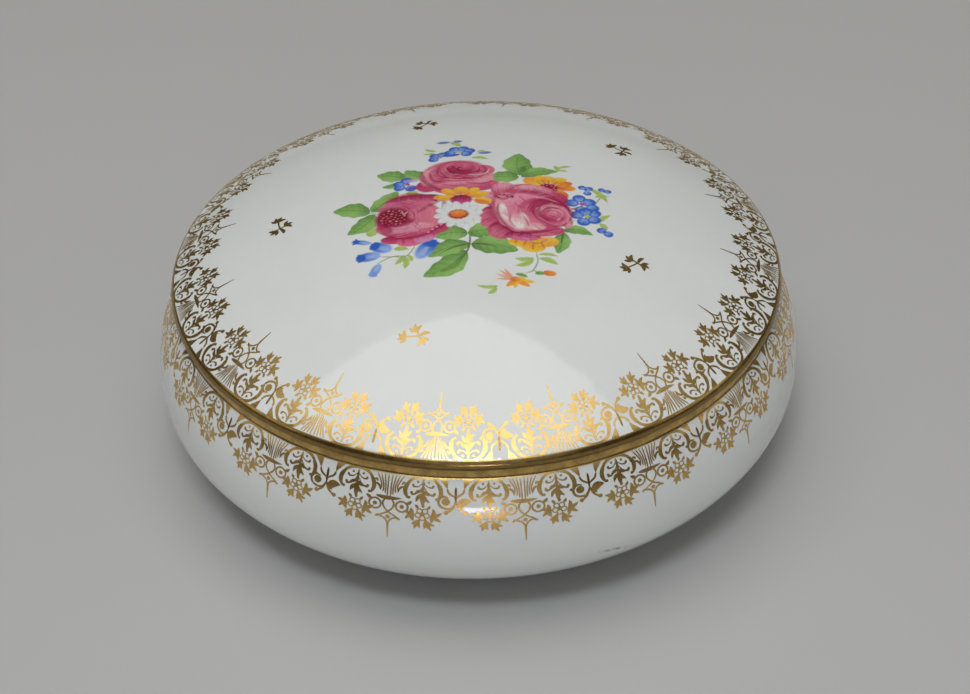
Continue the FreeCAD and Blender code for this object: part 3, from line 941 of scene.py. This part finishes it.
def paint_yellow(art):
    """The yellow and orange flowers behind the roses, and the two small ones below."""
    for x, y, rx, ry, turn, near, far in (
        (15.0, 10.2, 2.9, 2.0, -10, AMBER, YELLOW),
        (18.4, 11.3, 1.6, 1.9, 90, YELLOW, AMBER),
        (21.0, 10.7, 2.2, 1.6, 30, YELLOW, AMBER),
        (22.6, 7.7, 2.4, 1.4, -5, AMBER, ORANGE),
        (21.2, 4.9, 2.2, 1.5, -40, ORANGE, AMBER),
        (16.6, 11.4, 1.7, 1.5, 120, YELLOW, AMBER),
        (22.4, 9.4, 2.0, 1.1, 20, ORANGE, AMBER),
    ):
        art.dab(x, y, rx, ry, turn, far, near, heading((18.5, 7.3), (x, y)), 0.25)
        art.line([(18.5, 7.6), (x, y)], 0.5, ink(180, 92, 48), 0.9, 0.65)
    art.dab(18.3, 7.3, 2.4, 2.1, 0, MAROON, CRIMSON, 90, 0.4)
    for i in range(14):
        art.dab(*polar((18.3, 7.3), 1.3 + 0.5 * (i % 2), 26 * i), 0.25, 0.25, 0, ink(210, 110, 110), soft=0.8)
    for x, y, rx, ry, turn, near, far in (
        (10.7, -15.4, 2.9, 1.5, -12, AMBER, YELLOW),
        (17.3, -14.9, 2.6, 1.8, 14, YELLOW, AMBER),
        (13.8, -16.9, 2.9, 1.9, 0, AMBER, YELLOW),
        (15.2, -14.6, 2.0, 1.6, 0, AMBER, YELLOW),
    ):
        art.dab(x, y, rx, ry, turn, near, far, 250, 0.3)
    for line in (
        [(12.2, -13.8), (14.6, -15.6), (17.6, -13.8)],
        [(12.2, -14.2), (11.6, -16.4)],
        [(13.8, -15.4), (13.6, -18.0)],
        [(15.6, -15.0), (16.4, -17.2)],
        [(10.0, -14.2), (9.4, -15.8)],
    ):
        art.line(line, 0.65, ink(186, 104, 52), 1.0, 0.7)
    # The small flower at the bottom: thin orange petals to the left, yellow ones to the right.
    for tip in ((4.6, -26.3), (5.4, -24.9), (4.5, -28.0), (6.6, -24.4)):
        art.line([(8.8, -28.2), tip], 0.75, ink(214, 146, 112), 0.7, 0.9)
    for tip, colour in (
        ((13.9, -29.2), YELLOW),
        ((12.6, -30.6), AMBER),
        ((9.0, -31.0), YELLOW),
        ((7.0, -30.6), AMBER),
        ((11.6, -27.9), YELLOW),
    ):
        art.line([(9.2, -28.4), tip], 1.5, colour, 0.5)
    art.dab(9.2, -28.2, 1.2, 0.9, 0, ORANGE, AMBER, 0, 0.6)
    art.leaf((9.2, -26.4), (12.2, -27.6), 1.3)
    art.dab(17.2, -26.0, 1.6, 0.95, -8, AMBER, ORANGE, 180, 0.35)
    art.leaf((13.8, -26.1), (16.2, -26.3), 1.5)


def paint_top_rose(art):
    art.dab(-11.0, 9.2, 3.2, 2.9, 35, WINE, ROSE, 250, 0.25, cup=0.2)
    art.dab(2.8, 15.8, 2.6, 2.4, -20, ROSE, PINK, 20, 0.18)
    art.dab(1.2, 8.6, 5.2, 2.8, 8, ROSE, PINK, 100, 0.18)
    art.dab(-5.0, 7.4, 5.4, 2.7, -8, ROSE, PINK, 90, 0.18)
    art.dab(-4.7, 13.8, 8.2, 7.0, 4, ROSE, PINK, 110, 0.14)
    # Petals wrap one inside another towards the heart.
    art.dab(-9.4, 13.2, 3.6, 4.8, -20, ROSE, BLUSH, 170, 0.25)
    art.dab(-8.4, 14.2, 2.8, 4.0, -20, WINE, PINK, 200, 0.35, 0.85)
    art.dab(-3.6, 9.8, 7.0, 2.6, 4, ROSE, PINK, 270, 0.3)
    art.dab(-4.2, 9.4, 5.4, 1.1, 3, PINK, BLUSH, 90, 0.7, 0.8)
    art.dab(1.8, 12.4, 3.4, 2.8, 30, ROSE, BLUSH, -50, 0.35)
    art.dab(-3.4, 18.4, 5.2, 2.4, 0, ROSE, PINK, 90, 0.35)
    art.dab(-3.2, 16.0, 5.0, 3.4, 0, ROSE, PINK, 90, 0.3)
    art.dab(-3.0, 16.6, 3.6, 2.4, 0, WINE, ROSE, 60, 0.35)
    art.dab(-2.4, 17.5, 2.2, 1.2, 10, ROSE, PINK, 90, 0.6)
    for points, width, colour in (
        ([(-12.4, 14.8), (-11.6, 10.4), (-8.6, 7.4), (-5.4, 6.2)], 1.0, CRIMSON),
        ([(-12.6, 16.4), (-12.9, 12.6), (-11.8, 10.6)], 0.7, WINE),
        ([(-10.8, 15.2), (-10.0, 11.6), (-7.0, 10.4)], 0.55, CRIMSON),
        ([(-8.4, 18.2), (-8.8, 15.2), (-7.0, 12.8), (-3.4, 12.0)], 0.65, WINE),
        ([(-6.6, 17.6), (-5.4, 14.6), (-2.6, 13.8), (1.0, 15.0), (1.6, 17.0)], 1.1, CRIMSON),
        ([(-5.4, 18.2), (-3.4, 15.8), (-0.4, 15.8)], 0.55, CRIMSON),
        ([(-5.6, 19.0), (-2.4, 20.0), (1.0, 18.2)], 0.5, WINE),
        ([(-9.4, 17.6), (-6.0, 20.0), (-3.0, 20.6)], 0.5, WINE),
        ([(-3.4, 12.2), (0.4, 12.0), (4.4, 14.4)], 0.65, WINE),
        ([(1.8, 19.0), (3.2, 15.8), (2.2, 13.0)], 0.55, WINE),
        ([(-1.4, 13.4), (2.6, 13.8), (4.2, 16.4)], 0.4, PETAL_WHITE),
        ([(-7.6, 12.0), (-4.0, 11.2), (-0.6, 11.2)], 0.45, BLUSH),
        ([(-2.0, 9.8), (2.0, 9.2), (5.4, 10.4)], 0.55, WINE),
        ([(-9.0, 10.2), (-5.0, 8.6), (-1.0, 8.8)], 0.5, ROSE),
        ([(2.2, 6.8), (4.8, 7.8), (5.6, 10.2)], 0.8, MAGENTA),
    ):
        art.line(points, width * 1.3, colour, 1.3, 0.6)
    heart = (-2.4, 16.6)
    art.curls(heart, 1.2, 4.4, 0, 360, 14, 2.4, CRIMSON, squash=0.6)
    art.curls(heart, 3.8, 8.2, 190, 340, 18, 3.0, WINE, squash=0.75, strength=0.45)
    art.curls(heart, 3.0, 8.6, 185, 340, 18, 2.6, BLUSH, squash=0.8, strength=0.4)


def paint_left_rose(art):
    """The open rose with a dark heart full of stamens."""
    art.dab(-19.4, -12.4, 3.0, 1.5, -8, WINE, ROSE, 250, 0.2)
    art.dab(-15.4, -13.4, 3.2, 1.9, 0, ROSE, ink(206, 104, 140), 260, 0.2)
    art.dab(-11.8, -12.2, 2.8, 1.9, 20, MAGENTA, LAVENDER, 270, 0.2)
    art.dab(-8.6, -9.0, 3.4, 2.0, 30, CRIMSON, ROSE, 300, 0.2)
    art.dab(-10.2, 3.6, 3.4, 1.6, -8, CRIMSON, WINE, 100, 0.2)
    art.dab(-15.8, -4.6, 8.0, 7.8, 0, WINE, ROSE, -60, 0.15)
    art.dab(-15.4, 3.0, 6.0, 2.8, 4, WINE, ink(190, 104, 138), 270, 0.3)
    art.dab(-15.0, 0.8, 5.4, 2.2, 6, ROSE, PINK, 0, 0.5, 0.8)
    art.dab(-20.4, 0.4, 3.0, 2.4, 30, ROSE, ink(190, 104, 138), 90, 0.4, 0.8)
    art.dab(-12.0, -4.4, 4.4, 5.2, 0, PINK, ink(202, 112, 132), 0, 0.25)
    art.dab(-15.8, -8.8, 6.4, 2.6, 2, ROSE, BLUSH, 90, 0.35)
    art.dab(-16.4, -8.4, 4.6, 1.6, 2, LAVENDER, BLUSH, 90, 0.5, 0.7)
    art.dab(-21.6, -8.2, 2.2, 1.6, -30, WINE, ROSE, 200, 0.4, 0.8)
    art.dab(-19.5, -3.5, 3.7, 3.9, 15, CRIMSON, ink(118, 22, 46), 30, 0.45)
    art.dab(-17.4, -5.9, 3.2, 1.6, 10, CRIMSON, WINE, 260, 0.7, 0.8)
    for i in range(34):
        x, y = polar((-19.5, -3.4), 3.4 * math.sqrt((i + 0.5) / 34), 137.5 * i)
        r = 0.18 + 0.16 * art.rng.random()
        shade = art.rng.random()
        art.dab(x, y, r, r, 0, ROSE * shade + ink(226, 176, 150) * (1 - shade), soft=0.8, strength=0.7)
    art.line([(-17.0, -2.8), (-15.8, -1.2)], 0.35, BLUSH, 0.7)
    art.line([(-17.0, -2.8), (-17.6, -0.6)], 0.35, BLUSH, 0.7)
    for points, width, colour in (
        ([(-22.6, 2.6), (-16.0, 6.0), (-9.6, 4.2)], 1.0, WINE),
        ([(-22.4, -9.6), (-17.4, -12.0), (-12.0, -11.4), (-8.2, -8.2)], 0.75, CRIMSON),
        ([(-13.6, -2.2), (-10.6, 0.6), (-7.8, 2.4)], 0.9, WINE),
        ([(-15.0, -6.8), (-12.8, -9.0), (-9.4, -8.8)], 0.5, ROSE),
        ([(-13.6, -3.2), (-14.0, -6.2), (-12.4, -8.6)], 0.45, ROSE),
        ([(-8.8, 3.8), (-7.2, 1.6), (-7.8, -1.0)], 0.9, CRIMSON),
        ([(-17.2, -12.2), (-16.8, -14.2)], 0.5, WINE),
        ([(-10.4, -10.0), (-8.6, -8.4), (-6.8, -7.2)], 0.9, CRIMSON),
    ):
        art.line(points, width * 1.3, colour, 1.3, 0.6)
    heart = (-18.6, -3.4)
    art.curls(heart, 4.0, 9.4, -100, 110, 22, 3.4, WINE, strength=0.35)
    art.curls(heart, 4.4, 9.6, -90, 100, 20, 3.2, BLUSH, strength=0.35)
    art.curls(heart, 3.4, 5.0, 0, 360, 12, 2.4, CRIMSON, strength=0.5)
    for x, y in ((-11.0, -10.4), (-10.0, -9.4), (-9.0, -8.6), (-8.0, -7.8), (-9.4, 3.2), (-8.6, 2.4)):
        art.dab(x, y, 0.32, 0.28, 0, BLUSH, soft=0.7)


def paint_right_rose(art):
    """The largest rose, a cup with white lights on its left side and the heart to the right."""
    for x, y, rx, ry, turn, near, far, toward in (
        (7.4, 6.2, 3.2, 3.4, 0, ROSE, BLUSH, 90),
        (4.4, 2.0, 1.9, 3.4, 10, ROSE, BLUSH, 150),
        (3.6, -4.4, 2.3, 3.6, -10, WINE, PINK, 200),
        (3.8, -7.6, 2.4, 1.8, 10, ROSE, PINK, 240),
        (6.4, -10.6, 3.4, 3.4, -20, WINE, PINK, 230),
        (11.4, -12.8, 4.2, 1.8, -6, WINE, ink(204, 110, 152), 270),
        (17.4, -11.0, 4.2, 1.8, 12, ROSE, PINK, 270),
        (22.0, -6.6, 1.6, 2.6, 10, ROSE, BLUSH, -60),
        (20.4, 2.8, 2.6, 2.4, -30, WINE, ROSE, 60),
        (14.4, 6.0, 6.0, 2.6, -14, ROSE, BLUSH, 100),
    ):
        art.dab(x, y, rx, ry, turn, near, far, toward, 0.2, cup=0.3)
    art.dab(13.6, -2.6, 9.2, 9.0, 0, ROSE, PINK, 120, 0.1)
    art.dab(14.2, 4.0, 7.4, 1.8, -14, WINE, ROSE, 120, 0.6, 0.8)
    art.dab(8.6, -2.4, 3.9, 7.2, 8, PINK, BLUSH, 190, 0.25)
    art.dab(12.6, 0.8, 6.6, 3.6, -12, PINK, ink(214, 140, 164), 140, 0.3)
    art.dab(11.2, -5.6, 5.0, 5.4, 20, PINK, BLUSH, 230, 0.3)
    art.dab(16.6, -2.8, 6.2, 5.6, -10, ROSE, PINK, 250, 0.2)
    art.dab(18.2, -1.6, 5.2, 4.4, -16, WINE, ROSE, 240, 0.25)
    art.dab(18.8, -4.4, 4.2, 4.4, -10, PINK, BLUSH, 60, 0.25)
    art.dab(19.2, -4.2, 3.2, 3.4, -10, ROSE, PINK, 60, 0.4)
    art.dab(19.4, -3.6, 2.0, 1.9, 0, PINK, BLUSH, 60, 0.5, 0.8)
    art.dab(6.9, -3.0, 1.1, 3.0, 4, BLUSH, PETAL_WHITE, 90, 0.6)
    art.dab(7.8, -6.6, 0.8, 2.6, 28, BLUSH, PETAL_WHITE, 90, 0.7, 0.8)
    art.dab(10.5, -7.0, 1.8, 3.0, 14, BLUSH, PETAL_WHITE, 270, 0.6)
    art.dab(12.2, -6.0, 0.8, 2.4, 20, BLUSH, PETAL_WHITE, 90, 0.7, 0.7)
    art.dab(14.6, -9.0, 2.4, 1.4, -6, BLUSH, ink(226, 190, 184), 270, 0.5, 0.8)
    for points, width, colour in (
        ([(4.6, 3.4), (7.2, 2.2), (10.0, 4.0)], 0.7, CRIMSON),
        ([(10.6, 5.2), (14.2, 5.4), (18.4, 4.0), (21.4, 1.6)], 0.7, WINE),
        ([(4.8, 1.2), (4.9, -4.0), (6.2, -8.6)], 0.7, WINE),
        ([(6.0, -8.4), (9.4, -11.0), (14.6, -11.4), (20.0, -9.8)], 0.8, CRIMSON),
        ([(8.8, -4.0), (8.5, -7.0), (10.0, -9.6)], 0.35, WINE),
        ([(12.9, -9.4), (12.6, -7.0), (11.4, -4.4)], 0.3, WINE),
        ([(9.6, 1.2), (11.0, -1.2), (13.4, -2.0)], 0.4, ROSE),
        ([(5.9, 0.4), (5.7, -4.0), (7.2, -8.0), (9.4, -10.2)], 0.7, CRIMSON),
        ([(14.6, 1.0), (14.2, -3.2), (15.8, -6.6), (19.8, -8.8), (23.0, -6.6)], 0.65, WINE),
        ([(15.6, 1.2), (18.6, 2.0), (21.8, 0.4), (23.2, -2.8)], 0.8, WINE),
        ([(15.6, -0.6), (15.6, -4.0), (17.8, -6.6)], 1.1, CRIMSON),
        ([(16.4, -3.4), (18.0, -1.4), (20.8, -1.6)], 0.8, CRIMSON),
        ([(17.2, -5.0), (19.4, -6.4), (21.8, -5.2)], 0.5, WINE),
        ([(9.0, 2.6), (11.2, -0.6)], 0.5, LAVENDER),
        ([(10.8, 3.8), (12.8, 0.6)], 0.5, ROSE),
        ([(13.4, 3.2), (17.4, 2.6), (20.8, 0.8)], 0.5, BLUSH),
        ([(22.8, -1.2), (23.6, -3.8), (22.8, -6.4)], 0.9, CRIMSON),
        ([(10.0, -13.0), (12.0, -11.6)], 0.6, WINE),
        ([(5.6, 4.2), (8.0, 3.6), (10.6, 5.0)], 0.6, WINE),
    ):
        art.line(points, width * 1.3, colour, 1.3, 0.6)
    heart = (19.0, -3.6)
    art.curls(heart, 1.0, 4.2, 0, 360, 18, 2.2, WINE, strength=0.5)
    art.curls(heart, 1.2, 4.4, 0, 360, 12, 1.8, BLUSH, strength=0.5)
    art.curls(heart, 4.6, 9.0, 60, 300, 22, 3.4, WINE, strength=0.35)
    art.curls(heart, 4.8, 13.0, 90, 270, 26, 3.4, BLUSH, strength=0.35)
    art.curls((13.6, -2.6), 8.6, 11.4, 0, 360, 30, 3.0, CRIMSON, strength=0.35)
    for _ in range(16):
        x, y = 5.0 + 5.0 * art.rng.random(), 2.4 + 1.8 * art.rng.random()
        art.dab(x, y, 0.28, 0.24, 0, CRIMSON, soft=0.8, strength=0.8)
    art.line([(23.4, -1.4), (25.0, -1.2)], 0.7, ink(150, 90, 84), 0.8)


def paint_yellow_daisy(art):
    """The yellow daisy behind the white one, with a magenta eye."""
    for x, y, rx, ry, turn in (
        (-7.3, 3.3, 2.5, 1.2, -12),
        (-6.0, 5.6, 2.3, 1.3, -40),
        (-3.2, 6.4, 1.5, 1.9, 90),
        (-0.5, 5.6, 2.3, 1.3, 40),
        (1.2, 4.2, 2.5, 1.4, 15),
        (2.2, 1.4, 2.2, 1.4, -15),
    ):
        art.dab(x, y, rx, ry, turn, AMBER, YELLOW, 60, 0.25, cup=0.25)
        art.line([(-3.0, 2.8), (x, y)], 0.35, ORANGE, 0.8, 0.6)
    art.dab(2.0, 1.0, 1.8, 0.9, -15, ORANGE, soft=0.6, strength=0.7)
    art.dab(-3.1, 2.2, 2.7, 2.2, 0, MAROON, MAGENTA, -90, 0.3)


def paint_daisy(art):
    """The white daisy in front: twelve petals with blue-grey shade between them, and an orange eye."""
    x, y = -3.8, -3.9
    art.petals(x, y, 12, 1.2, 5.7, 2.6, SHADOW, ink(196, 202, 212), 96, squash=0.84)
    art.petals(x, y, 12, 1.6, 5.6, 1.9, ink(206, 210, 216), WHITE, 96, squash=0.84)
    art.petals(x, y, 12, 2.2, 5.0, 1.0, WHITE, WHITE, 96, squash=0.84)
    art.dab(x, y, 2.5, 1.9, 0, MAROON, ink(170, 64, 52), 270, 0.3)
    art.dab(x, y + 0.3, 2.1, 1.4, 0, ORANGE, AMBER, 90, 0.4)
    for i in range(10):
        art.dab(*polar((x, y), 1.9, 36 * i), 0.28, 0.22, 0, MAROON, soft=0.8, strength=0.6)


def paint_bouquet(step):
    art = Painting(-36, 36, -35, 34, step)
    paint_sprays(art)
    paint_leaves(art)
    paint_blue(art)
    paint_yellow(art)
    paint_top_rose(art)
    paint_left_rose(art)
    paint_right_rose(art)
    paint_yellow_daisy(art)
    paint_daisy(art)
    return art


# ---------------------------------------------------------------- the pieces

# Where a spire of each lace stands: the azimuth of the one nearest the front.
LID_PHASE = math.radians(-97.8)
BOWL_PHASE = math.radians(-83.0)


def bare_where(obj, bare):
    """Puts the second material on the faces whose middle, as r and z in millimetres, passes the test."""
    for face in obj.data.polygons:
        x, y, z = face.center / MM
        face.material_index = int(bare(math.hypot(x, y), z))


def build_porcelain():
    glaze, bisque = porcelain_material(), bisque_material()
    fillet = 0.5
    bowl_outline = join(
        [(0.0, FOOT_RECESS), (FOOT_IN, FOOT_RECESS)],
        arc((FOOT_IN + fillet, fillet), fillet, 180, 270, 0.15),
        arc((FOOT_OUT - fillet, fillet), fillet, -90, 0, 0.15),
        list(reversed(Bowl.outside())),
        arc((RIM - fillet, SEAT - fillet), fillet, 0, 90, 0.15),
        arc((MOUTH + fillet, SEAT - fillet), fillet, 90, 180, 0.15),
        list(reversed(Bowl.inside())),
    )
    bowl_outline.append((0.0, bowl_outline[-1][1]))
    bowl = turned("bowl_porcelain", bowl_outline)
    finish_piece(bowl, "bowl", "porcelain", glaze, bisque)
    bare_where(bowl, lambda r, z: (z < 0.35 and r > FOOT_IN) or (z > SEAT - 0.1 and r < RIM - 0.4))
    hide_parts("bowl")

    ring_fillet = 0.8
    tip = LID_SEAT - FLANGE_DEPTH
    lid_outline = join(
        Lid.outside(),
        Lid.roll(Lid.roll_top, 0),
        Lid.corner(),
        [(FLANGE_OUT, LID_SEAT)],
        arc((FLANGE_OUT - ring_fillet, tip + ring_fillet), ring_fillet, 0, -90, 0.2),
        arc((FLANGE_IN + ring_fillet, tip + ring_fillet), ring_fillet, -90, -180, 0.2),
        Lid.inside(),
    )
    lid = turned("lid_porcelain", lid_outline)
    finish_piece(lid, "lid", "porcelain", glaze, bisque)
    bare_where(lid, lambda r, z: z < tip + 0.5 or (r > FLANGE_OUT and z < LID_SEAT + 0.02))
    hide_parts("lid")


def build_gilding():
    gold = gold_material()
    film = 0.04
    edge = join(Lid.roll(43, 0), Lid.corner())
    outer = [(r + film * (r - 70) / 5, z + (film if z > LID_SEAT + 0.5 else 0)) for r, z in edge]
    inner = [(r - 0.15, z - (0.1 if z > LID_SEAT + 0.5 else -0.1)) for r, z in reversed(edge)]
    lid_edge = turned("lid_gilt_edge", outer + inner)
    seam, roll = LID_SEAT, Lid.roll_centre[1]
    # Painted shade and light on the lid's band: darkest at the seam, where shade falls between lid and bowl,
    # brightest at the top of the roll.
    lid_painted_shading = (
        (seam, 0.08),
        (seam + 0.3, 0.35),
        (seam + 0.65, 0.5),
        (roll - 0.2, 0.42),
        (roll + 0.9, 0.5),
        (roll + 1.7, 0.85),
    )
    finish_piece(lid_edge, "lid", "gilding", painted_shade_band_material("lid band gold with painted shade", lid_painted_shading))

    crease = Bowl.crease[1]
    top = arc((RIM - 0.5, SEAT - 0.5), 0.5, 0, 70, 0.12)
    outer = [(RIM + film, crease - 0.15)] + [(r + film, z) for r, z in top]
    inner = [(r - 0.12, z - 0.1) for r, z in reversed(top)] + [(RIM - 0.12, crease - 0.15)]
    bowl_edge = turned("bowl_gilt_edge", outer + inner)
    # Painted shade on the bowl's band: dark in the crease at its foot and under the lid's overhang at its
    # top, brighter between.
    bowl_painted_shading = (
        (crease - 0.1, 0.08),
        (crease + 0.35, 0.3),
        (crease + 0.7, 1.1),
        (SEAT - 1.1, 0.9),
        (SEAT - 0.7, 0.15),
    )
    finish_piece(bowl_edge, "bowl", "gilding", painted_shade_band_material("bowl band gold with painted shade", bowl_painted_shading))

    unit = lace_unit()
    lid_run = list(reversed(join(Lid.outside(), Lid.roll(Lid.roll_top, 43))))
    lid_lace = lay_round("lid_gilt_lace", unit, Skin(lid_run), 1.0, LID_PHASE)
    finish_piece(lid_lace, "lid", "gilding", gold)
    bowl_lace = lay_round("bowl_gilt_lace", unit, Skin(Bowl.outside()), 0.93, BOWL_PHASE)
    finish_piece(bowl_lace, "bowl", "gilding", gold)


def on_lid(skin, x, y, height):
    """Points on the lid straight above the plan points x, y, and height off the glaze."""
    reach = np.interp(np.hypot(x, y), skin.points[:, 0], skin.s)
    return skin.place(reach, np.arctan2(y, x), height)


def build_sprigs():
    """Five small gilt sprigs scattered round the bouquet."""
    skin = Skin(Lid.outside())
    flat, faces = sprig_unit().solid()
    verts = []
    for x, y, turn in SPRIGS:
        a = math.radians(turn)
        u, v = flat[:, 0], flat[:, 1]
        px, py = x + u * math.cos(a) - v * math.sin(a), y + u * math.sin(a) + v * math.cos(a)
        verts.append(on_lid(skin, px, py, flat[:, 2]))
    every = np.concatenate([faces + k * len(flat) for k in range(len(SPRIGS))])
    sprigs = make_object("lid_gilt_sprigs", np.concatenate(verts), every, FILM_SHARP)
    finish_piece(sprigs, "lid", "gilding", gold_material("sprig gold"))


# The spacing of the grid that the bouquet is painted on, and the least cover that counts as paint.
PAINT_GRID = 0.18
LEAST_COVER = 0.015
# How far the thinnest paint stands above the glaze, and how much full cover adds to that.
THIN_PAINT = 0.02
PAINT_BODY = 0.03


def build_bouquet():
    """The painting as an open sheet of enamel, raised where there is paint and sunk in the glaze round it."""
    art = paint_bouquet(PAINT_GRID)
    px, py = np.meshgrid(art.xs, art.ys)
    painted = art.cover > LEAST_COVER
    height = np.where(painted, THIN_PAINT + PAINT_BODY * art.cover, ROOT)
    verts = on_lid(Skin(Lid.outside()), px.ravel(), py.ravel(), height.ravel())
    rows, columns = painted.shape
    i, j = np.meshgrid(np.arange(rows - 1), np.arange(columns - 1), indexing="ij")
    a = (i * columns + j).ravel()
    quads = np.stack([a, a + 1, a + columns + 1, a + columns], 1)
    quads = quads[painted.ravel()[quads].any(axis=1)]
    used, faces = np.unique(quads, return_inverse=True)
    bouquet = make_object("lid_bouquet", verts[used], faces.reshape(-1, 4))
    paint = bouquet.data.color_attributes.new("paint", "FLOAT_COLOR", "POINT")
    rgba = np.concatenate([art.colour.reshape(-1, 3), art.cover.reshape(-1, 1)], 1)[used]
    paint.data.foreach_set("color", rgba.astype(np.float32).ravel())
    finish_piece(bouquet, "lid", "enamel", enamel_material())


build_porcelain()
build_gilding()
build_sprigs()
build_bouquet()


# ---------------------------------------------------------------- floor, lights and camera


def build_floor():
    n = Nodes("pale floor")
    n.feed(Base_Color=(0.52, 0.525, 0.53, 1), Roughness=0.85)
    n.shader.inputs["Specular IOR Level"].default_value = 0.2
    reach = 3.0
    points = [(-reach, -reach, 0), (reach, -reach, 0), (reach, reach, 0), (-reach, reach, 0)]
    floor = make_object("floor", np.array(points) / MM, [(0, 1, 2, 3)])
    floor.data.materials.append(n.material)


def area_light(name, azimuth, elevation, distance, width, height, watts, colour=(1, 1, 1)):
    """A soft box aimed at the box. Azimuth 0 is on the camera's side and positive is to its right."""
    aim = Vector((0, 0, 0.05))
    a, e = math.radians(azimuth), math.radians(elevation)
    way = Vector((math.sin(a) * math.cos(e), -math.cos(a) * math.cos(e), math.sin(e)))
    data = bpy.data.lights.new(name, "AREA")
    data.shape = "RECTANGLE"
    data.size, data.size_y = width, height
    data.energy = watts
    data.color = colour
    light = bpy.data.objects.new(name, data)
    light.location = aim + way * distance
    light.rotation_euler = way.to_track_quat("Z", "Y").to_euler()
    bpy.context.scene.collection.objects.link(light)


def build_lights():
    world = bpy.data.worlds.new("studio")
    world.use_nodes = True
    world.node_tree.nodes["Background"].inputs["Color"].default_value = (0.088, 0.082, 0.07, 1)
    bpy.context.scene.world = world
    area_light("overhead", -50, 85, 1.3, 1.3, 1.2, 7.4, (1.0, 0.985, 0.95))
    area_light("overhead_soft", 0, 84, 1.5, 3.2, 2.4, 5.0, (1.0, 0.96, 0.89))
    area_light("left_panel", -80, 22, 1.6, 0.9, 0.5, 0.8, (1.0, 0.96, 0.88))
    area_light("right_panel", 80, 22, 1.6, 0.9, 0.5, 0.8, (1.0, 0.96, 0.88))
    area_light("front_high", -7, 60, 1.2, 0.36, 0.14, 3.0, (0.94, 0.97, 1.0))
    area_light("front_wide", 2, 28, 1.4, 1.3, 1.05, 1.2, (0.94, 0.97, 1.0))
    area_light("front_low", 0, 1, 1.4, 0.26, 0.08, 0.8, (1.0, 0.90, 0.93))


def build_camera():
    data = bpy.data.cameras.new("camera")
    data.sensor_width = 36.0
    data.lens = 75.35
    data.clip_start = 0.01
    camera = bpy.data.objects.new("camera", data)
    # It looks down by pitch and leans by roll, both in radians, from in front of the box and above its seam.
    pitch, roll = 0.6728, -0.0280
    place = (0.0017, -0.4056, SEAT * MM + 0.2980)
    turn = Matrix.Rotation(math.pi / 2 - pitch, 4, "X") @ Matrix.Rotation(roll, 4, "Z")
    camera.matrix_world = Matrix.Translation(place) @ turn
    bpy.context.scene.collection.objects.link(camera)
    bpy.context.scene.camera = camera


build_floor()
build_lights()
build_camera()
bpy.context.scene.view_settings.view_transform = "Standard"
